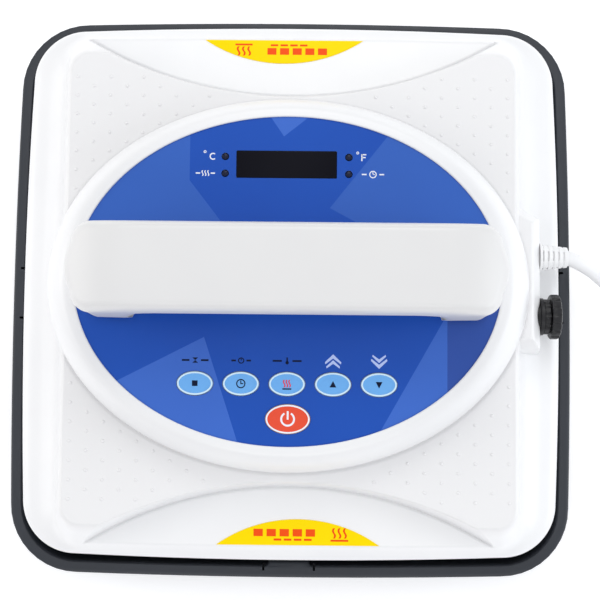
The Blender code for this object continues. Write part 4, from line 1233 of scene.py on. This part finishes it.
def make_fuse_holder():
    low, high = box("fuse_holder")
    start, end, bore = OUTLET_START, high.x, 3.7
    profile = [(8.7, start - 0.3), (8.9, start), (8.9, start + 1.4), (8.4, start + 1.8)]
    profile += [(8.4, end - 0.6), (8.1, end - 0.1), (bore, end), (bore, start)]

    def grooved(turn, radius, height):
        """Ten shallow grip grooves behind the flange."""
        if radius < 8.2 or height < start + 1.7:
            return radius
        return radius - 0.5 * max(0, math.cos(10 * turn)) ** 3

    body = spin(profile, 120, closed=True, flutes=grooved)
    inner = [(7, low.x), (7.4, low.x + 0.4), (7.4, start), (bore, start), (bore, low.x)]
    shape = at_outlet([body, spin(inner, 40, closed=True)], FUSE_Y)
    piece("fuse_holder_body", shape, "black_plastic", "press", "fuse_holder", 30)


def make_fuse_cap():
    low, high = box("fuse_cap")
    start, end, rim, stem = box("fuse_holder")[1].x + 0.3, high.x, 10.7, 3.1
    profile = [(stem, low.x), (stem, start), (rim - 0.5, start), (rim, start + 0.5)]
    profile += [(rim, end - 1.2), (rim - 0.35, end - 0.5), (rim - 1.1, end - 0.1)]
    profile += [(rim - 2, end), (rim - 3, end - 0.05), (rim - 3.2, end - 0.5), (0.05, end - 0.5)]

    def fluted(turn, radius, height):
        """Sixteen grip flutes round the rim."""
        if radius < rim - 1.3 or not start < height < end - 0.05:
            return radius
        return radius - 0.55 * max(0, math.cos(16 * turn)) ** 2

    slot = slab((-6.4, 6.4), (-0.9, 0.9), (end - 0.55, end - 0.12))
    shape = at_outlet([spin(profile, 192, flutes=fluted), slot], FUSE_Y)
    piece("fuse_cap_knob", shape, "black_plastic", "fuse_cap", "fuse_cap", 30)


def make_plug():
    """A moulded plug, squarish in section, that widens from the cord to its flat face."""
    low, high = box("mains_plug")
    centre = ((low.x + high.x) / 2, high.y, (low.z + high.z) / 2)
    half_x, length, half_z = (high.x - low.x) / 2, high.y - low.y, (high.z - low.z) / 2
    # Share of the length, of the width and of the height
    stations = [(0, 0.42, 0.5), (0.04, 0.46, 0.55), (0.12, 0.48, 0.57), (0.3, 0.62, 0.72)]
    stations += [(0.45, 0.78, 0.85), (0.6, 0.9, 0.93), (0.68, 0.98, 0.98), (0.72, 1, 1)]
    stations += [(0.95, 1, 1), (0.985, 0.985, 0.98), (1, 0.95, 0.93)]
    power = 2 / 2.8
    rings = []
    for share, wide, tall in curve_through(stations, 4):
        loop = []
        for turn in around(48):
            c, s = math.cos(turn), math.sin(turn)
            x = half_x * wide * math.copysign(abs(c) ** power, c)
            loop.append((x, half_z * tall * math.copysign(abs(s) ** power, s), share * length))
        rings.append(loop)
    shape = placed(loft(rings), ALONG_MINUS_Y, centre)
    piece("plug_moulding", shape, "cord_white", "tray", "mains_plug", 50)
    for name in ("plug_pin_1", "plug_pin_2"):
        low, high = box(name)
        reach, radius = high.y - low.y, (high.x - low.x) / 2
        profile = [(radius, -1), (radius, reach - 1.6), (radius * 0.86, reach - 0.7)]
        profile += [(radius * 0.5, reach - 0.1), (0.03, reach)]
        place = (middle(name)[0], high.y, centre[2])
        rod = placed(spin(profile, 32), ALONG_MINUS_Y, place)
        piece(f"{name}_rod", rod, "pin_brass", "tray", name, 30)


# Labels


def make_labels():
    """Yellow segments on the crescents' floors, with generic heat signs and dashes."""
    tilt = Matrix.Rotation(math.atan(CREST_SLOPE), 4, "X")
    half, rise = 38.7, 12.8
    radius = (half**2 + rise**2) / (2 * rise)
    widest = math.asin(half / radius)
    turns = [widest * (i / 24 - 1) for i in range(49)]
    outline = [(radius * math.sin(t), radius * math.cos(t) - (radius - rise)) for t in turns]
    marks = [dash(x, 6.2, 4.4, 3.6) for x in (-21, -14.8, -8.6, -2.4, 3.8)]
    marks += [dash(x, 2.8, 3.6, 1) for x in (-11.4, -6.6, -1.8, 3)]
    marks += [wave_stroke(x, 3.6, 8.6, 0.9, 0.5) for x in (17.2, 19.8, 22.4)]
    marks.append(dash(15.6, 2.5, 8.4, 0.9))
    for name, side in (("label_front", -1), ("label_rear", 1)):
        low, high = box(name)
        straight = max(abs(low.y), abs(high.y))
        place = Vector((middle(name)[0], side * straight, crescent_floor(straight) + 0.06))
        turn = Matrix.Rotation(math.pi if side > 0 else 0, 4, "Z") @ tilt
        matrix = Matrix.Translation(place * MM) @ turn
        sheet = outline_mesh(name, [outline], 0, 0.25, 0.06)
        sheet.transform(matrix)
        piece(f"{name}_sheet", sheet, "label_yellow", "press", name)
        printed = ink(f"{name}_marks", marks, 0.27, "ink_orange")
        printed.data.transform(matrix)


# CAD pieces that keep their shape, by material

KEPT = {
    "mat_cloth": ["base_mat"],
    "plate_coating": ["heat_plate"],
    "element_steel": ["heating_element"],
    "pad_felt": ["insulation_pad"],
    "shield_sheet": ["heat_shield"],
    "frame_grey": ["bottom_frame"],
    "panel_base": ["panel_plate"],
    "black_plastic": ["display_module", "buzzer"],
    "board_green": ["control_board", "power_board"],
    "relay_blue": ["relay"],
    "winding_tape": ["transformer"],
    "terminal_green": ["terminal_block"],
    "fuse_tube": ["glass_fuse"],
    "lead_sleeve": ["element_lead_1", "element_lead_2"],
    "foot_rubber": [f"tray_foot_{i}" for i in range(1, 5)],
    "steel": ["thermal_cutout", "temperature_probe", "handle_screw_1", "handle_screw_2"]
    + [f"standoff_{i}" for i in range(1, 5)]
    + [f"frame_screw_{i}" for i in range(1, 5)],
}


def dress_kept_nodes():
    for look, names in KEPT.items():
        for name in names:
            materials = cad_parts[name].data.materials
            materials.clear()
            materials.append(LOOKS[look].material)


# Floor, light and camera


def make_stage():
    bpy.ops.mesh.primitive_plane_add(size=6, location=(0, 0, -0.0002))
    floor = bpy.context.object
    floor.name = "floor"
    look = Look("floor_pale", (0.93, 0.93, 0.94), 0.6)
    look.vary_color(look.noise(400, 1), (0.92, 0.92, 0.935))
    look.set("Emission Color", (1.0, 1.0, 1.0, 1.0))
    look.set("Emission Strength", 0.3)
    floor.data.materials.append(look.material)
    world = bpy.data.worlds.new("studio")
    bpy.context.scene.world = world
    world.use_nodes = True
    background = world.node_tree.nodes["Background"]
    background.inputs["Color"].default_value = (0.95, 0.965, 1.0, 1.0)
    background.inputs["Strength"].default_value = 0.67
    lamp("rear_light", (0.1, 1.0, 1.2), 0.9, 5.6, (1.0, 1.0, 0.97))
    lamp("top_light", (0, 0.1, 1.6), 1.2, 1.5, (1.0, 1.0, 1.0))
    lamp("front_light", (0, -1.1, 1.0), 0.9, 3.2, (1.0, 0.99, 0.97))
    lamp("left_light", (-1.25, 0.1, 0.55), 0.9, 4.1, (1.0, 0.985, 0.95))
    lamp("right_light", (1.25, -0.1, 0.55), 0.9, 4.7, (0.92, 0.965, 1.0))


def lamp(name, place, size, power, color):
    """A round light at a place in metres, turned towards the object."""
    data = bpy.data.lights.new(name, "AREA")
    data.shape = "DISK"
    data.size = size
    data.energy = power
    data.color = color
    aim = Vector((0, 0, 0.06)) - Vector(place)
    obj = added(name, data)
    obj.location = place
    obj.rotation_euler = aim.to_track_quat("-Z", "Y").to_euler()


def make_camera():
    """Almost straight above, a little towards the front."""
    data = bpy.data.cameras.new("camera")
    data.sensor_width = 36
    data.lens = 78.27
    data.clip_start, data.clip_end = 0.01, 20
    camera = added("camera", data)
    matrix = Matrix.Translation((0.0082, -0.0602, 0.6834))
    for axis, degrees in (("Y", 0.34), ("X", 5.06), ("Z", 0.57)):
        matrix = matrix @ Matrix.Rotation(math.radians(degrees), 4, axis)
    camera.matrix_world = matrix
    bpy.context.scene.camera = camera
    bpy.context.scene.view_settings.view_transform = "Standard"


make_materials()
make_shell()
make_nubs()
make_bezel()
make_film()
make_lamp_marks()
make_key_marks()
make_window()
make_keys()
make_handle()
make_tray()
make_strain_relief()
make_cord()
make_fuse_holder()
make_fuse_cap()
make_plug()
make_labels()
dress_kept_nodes()
make_stage()
make_camera()
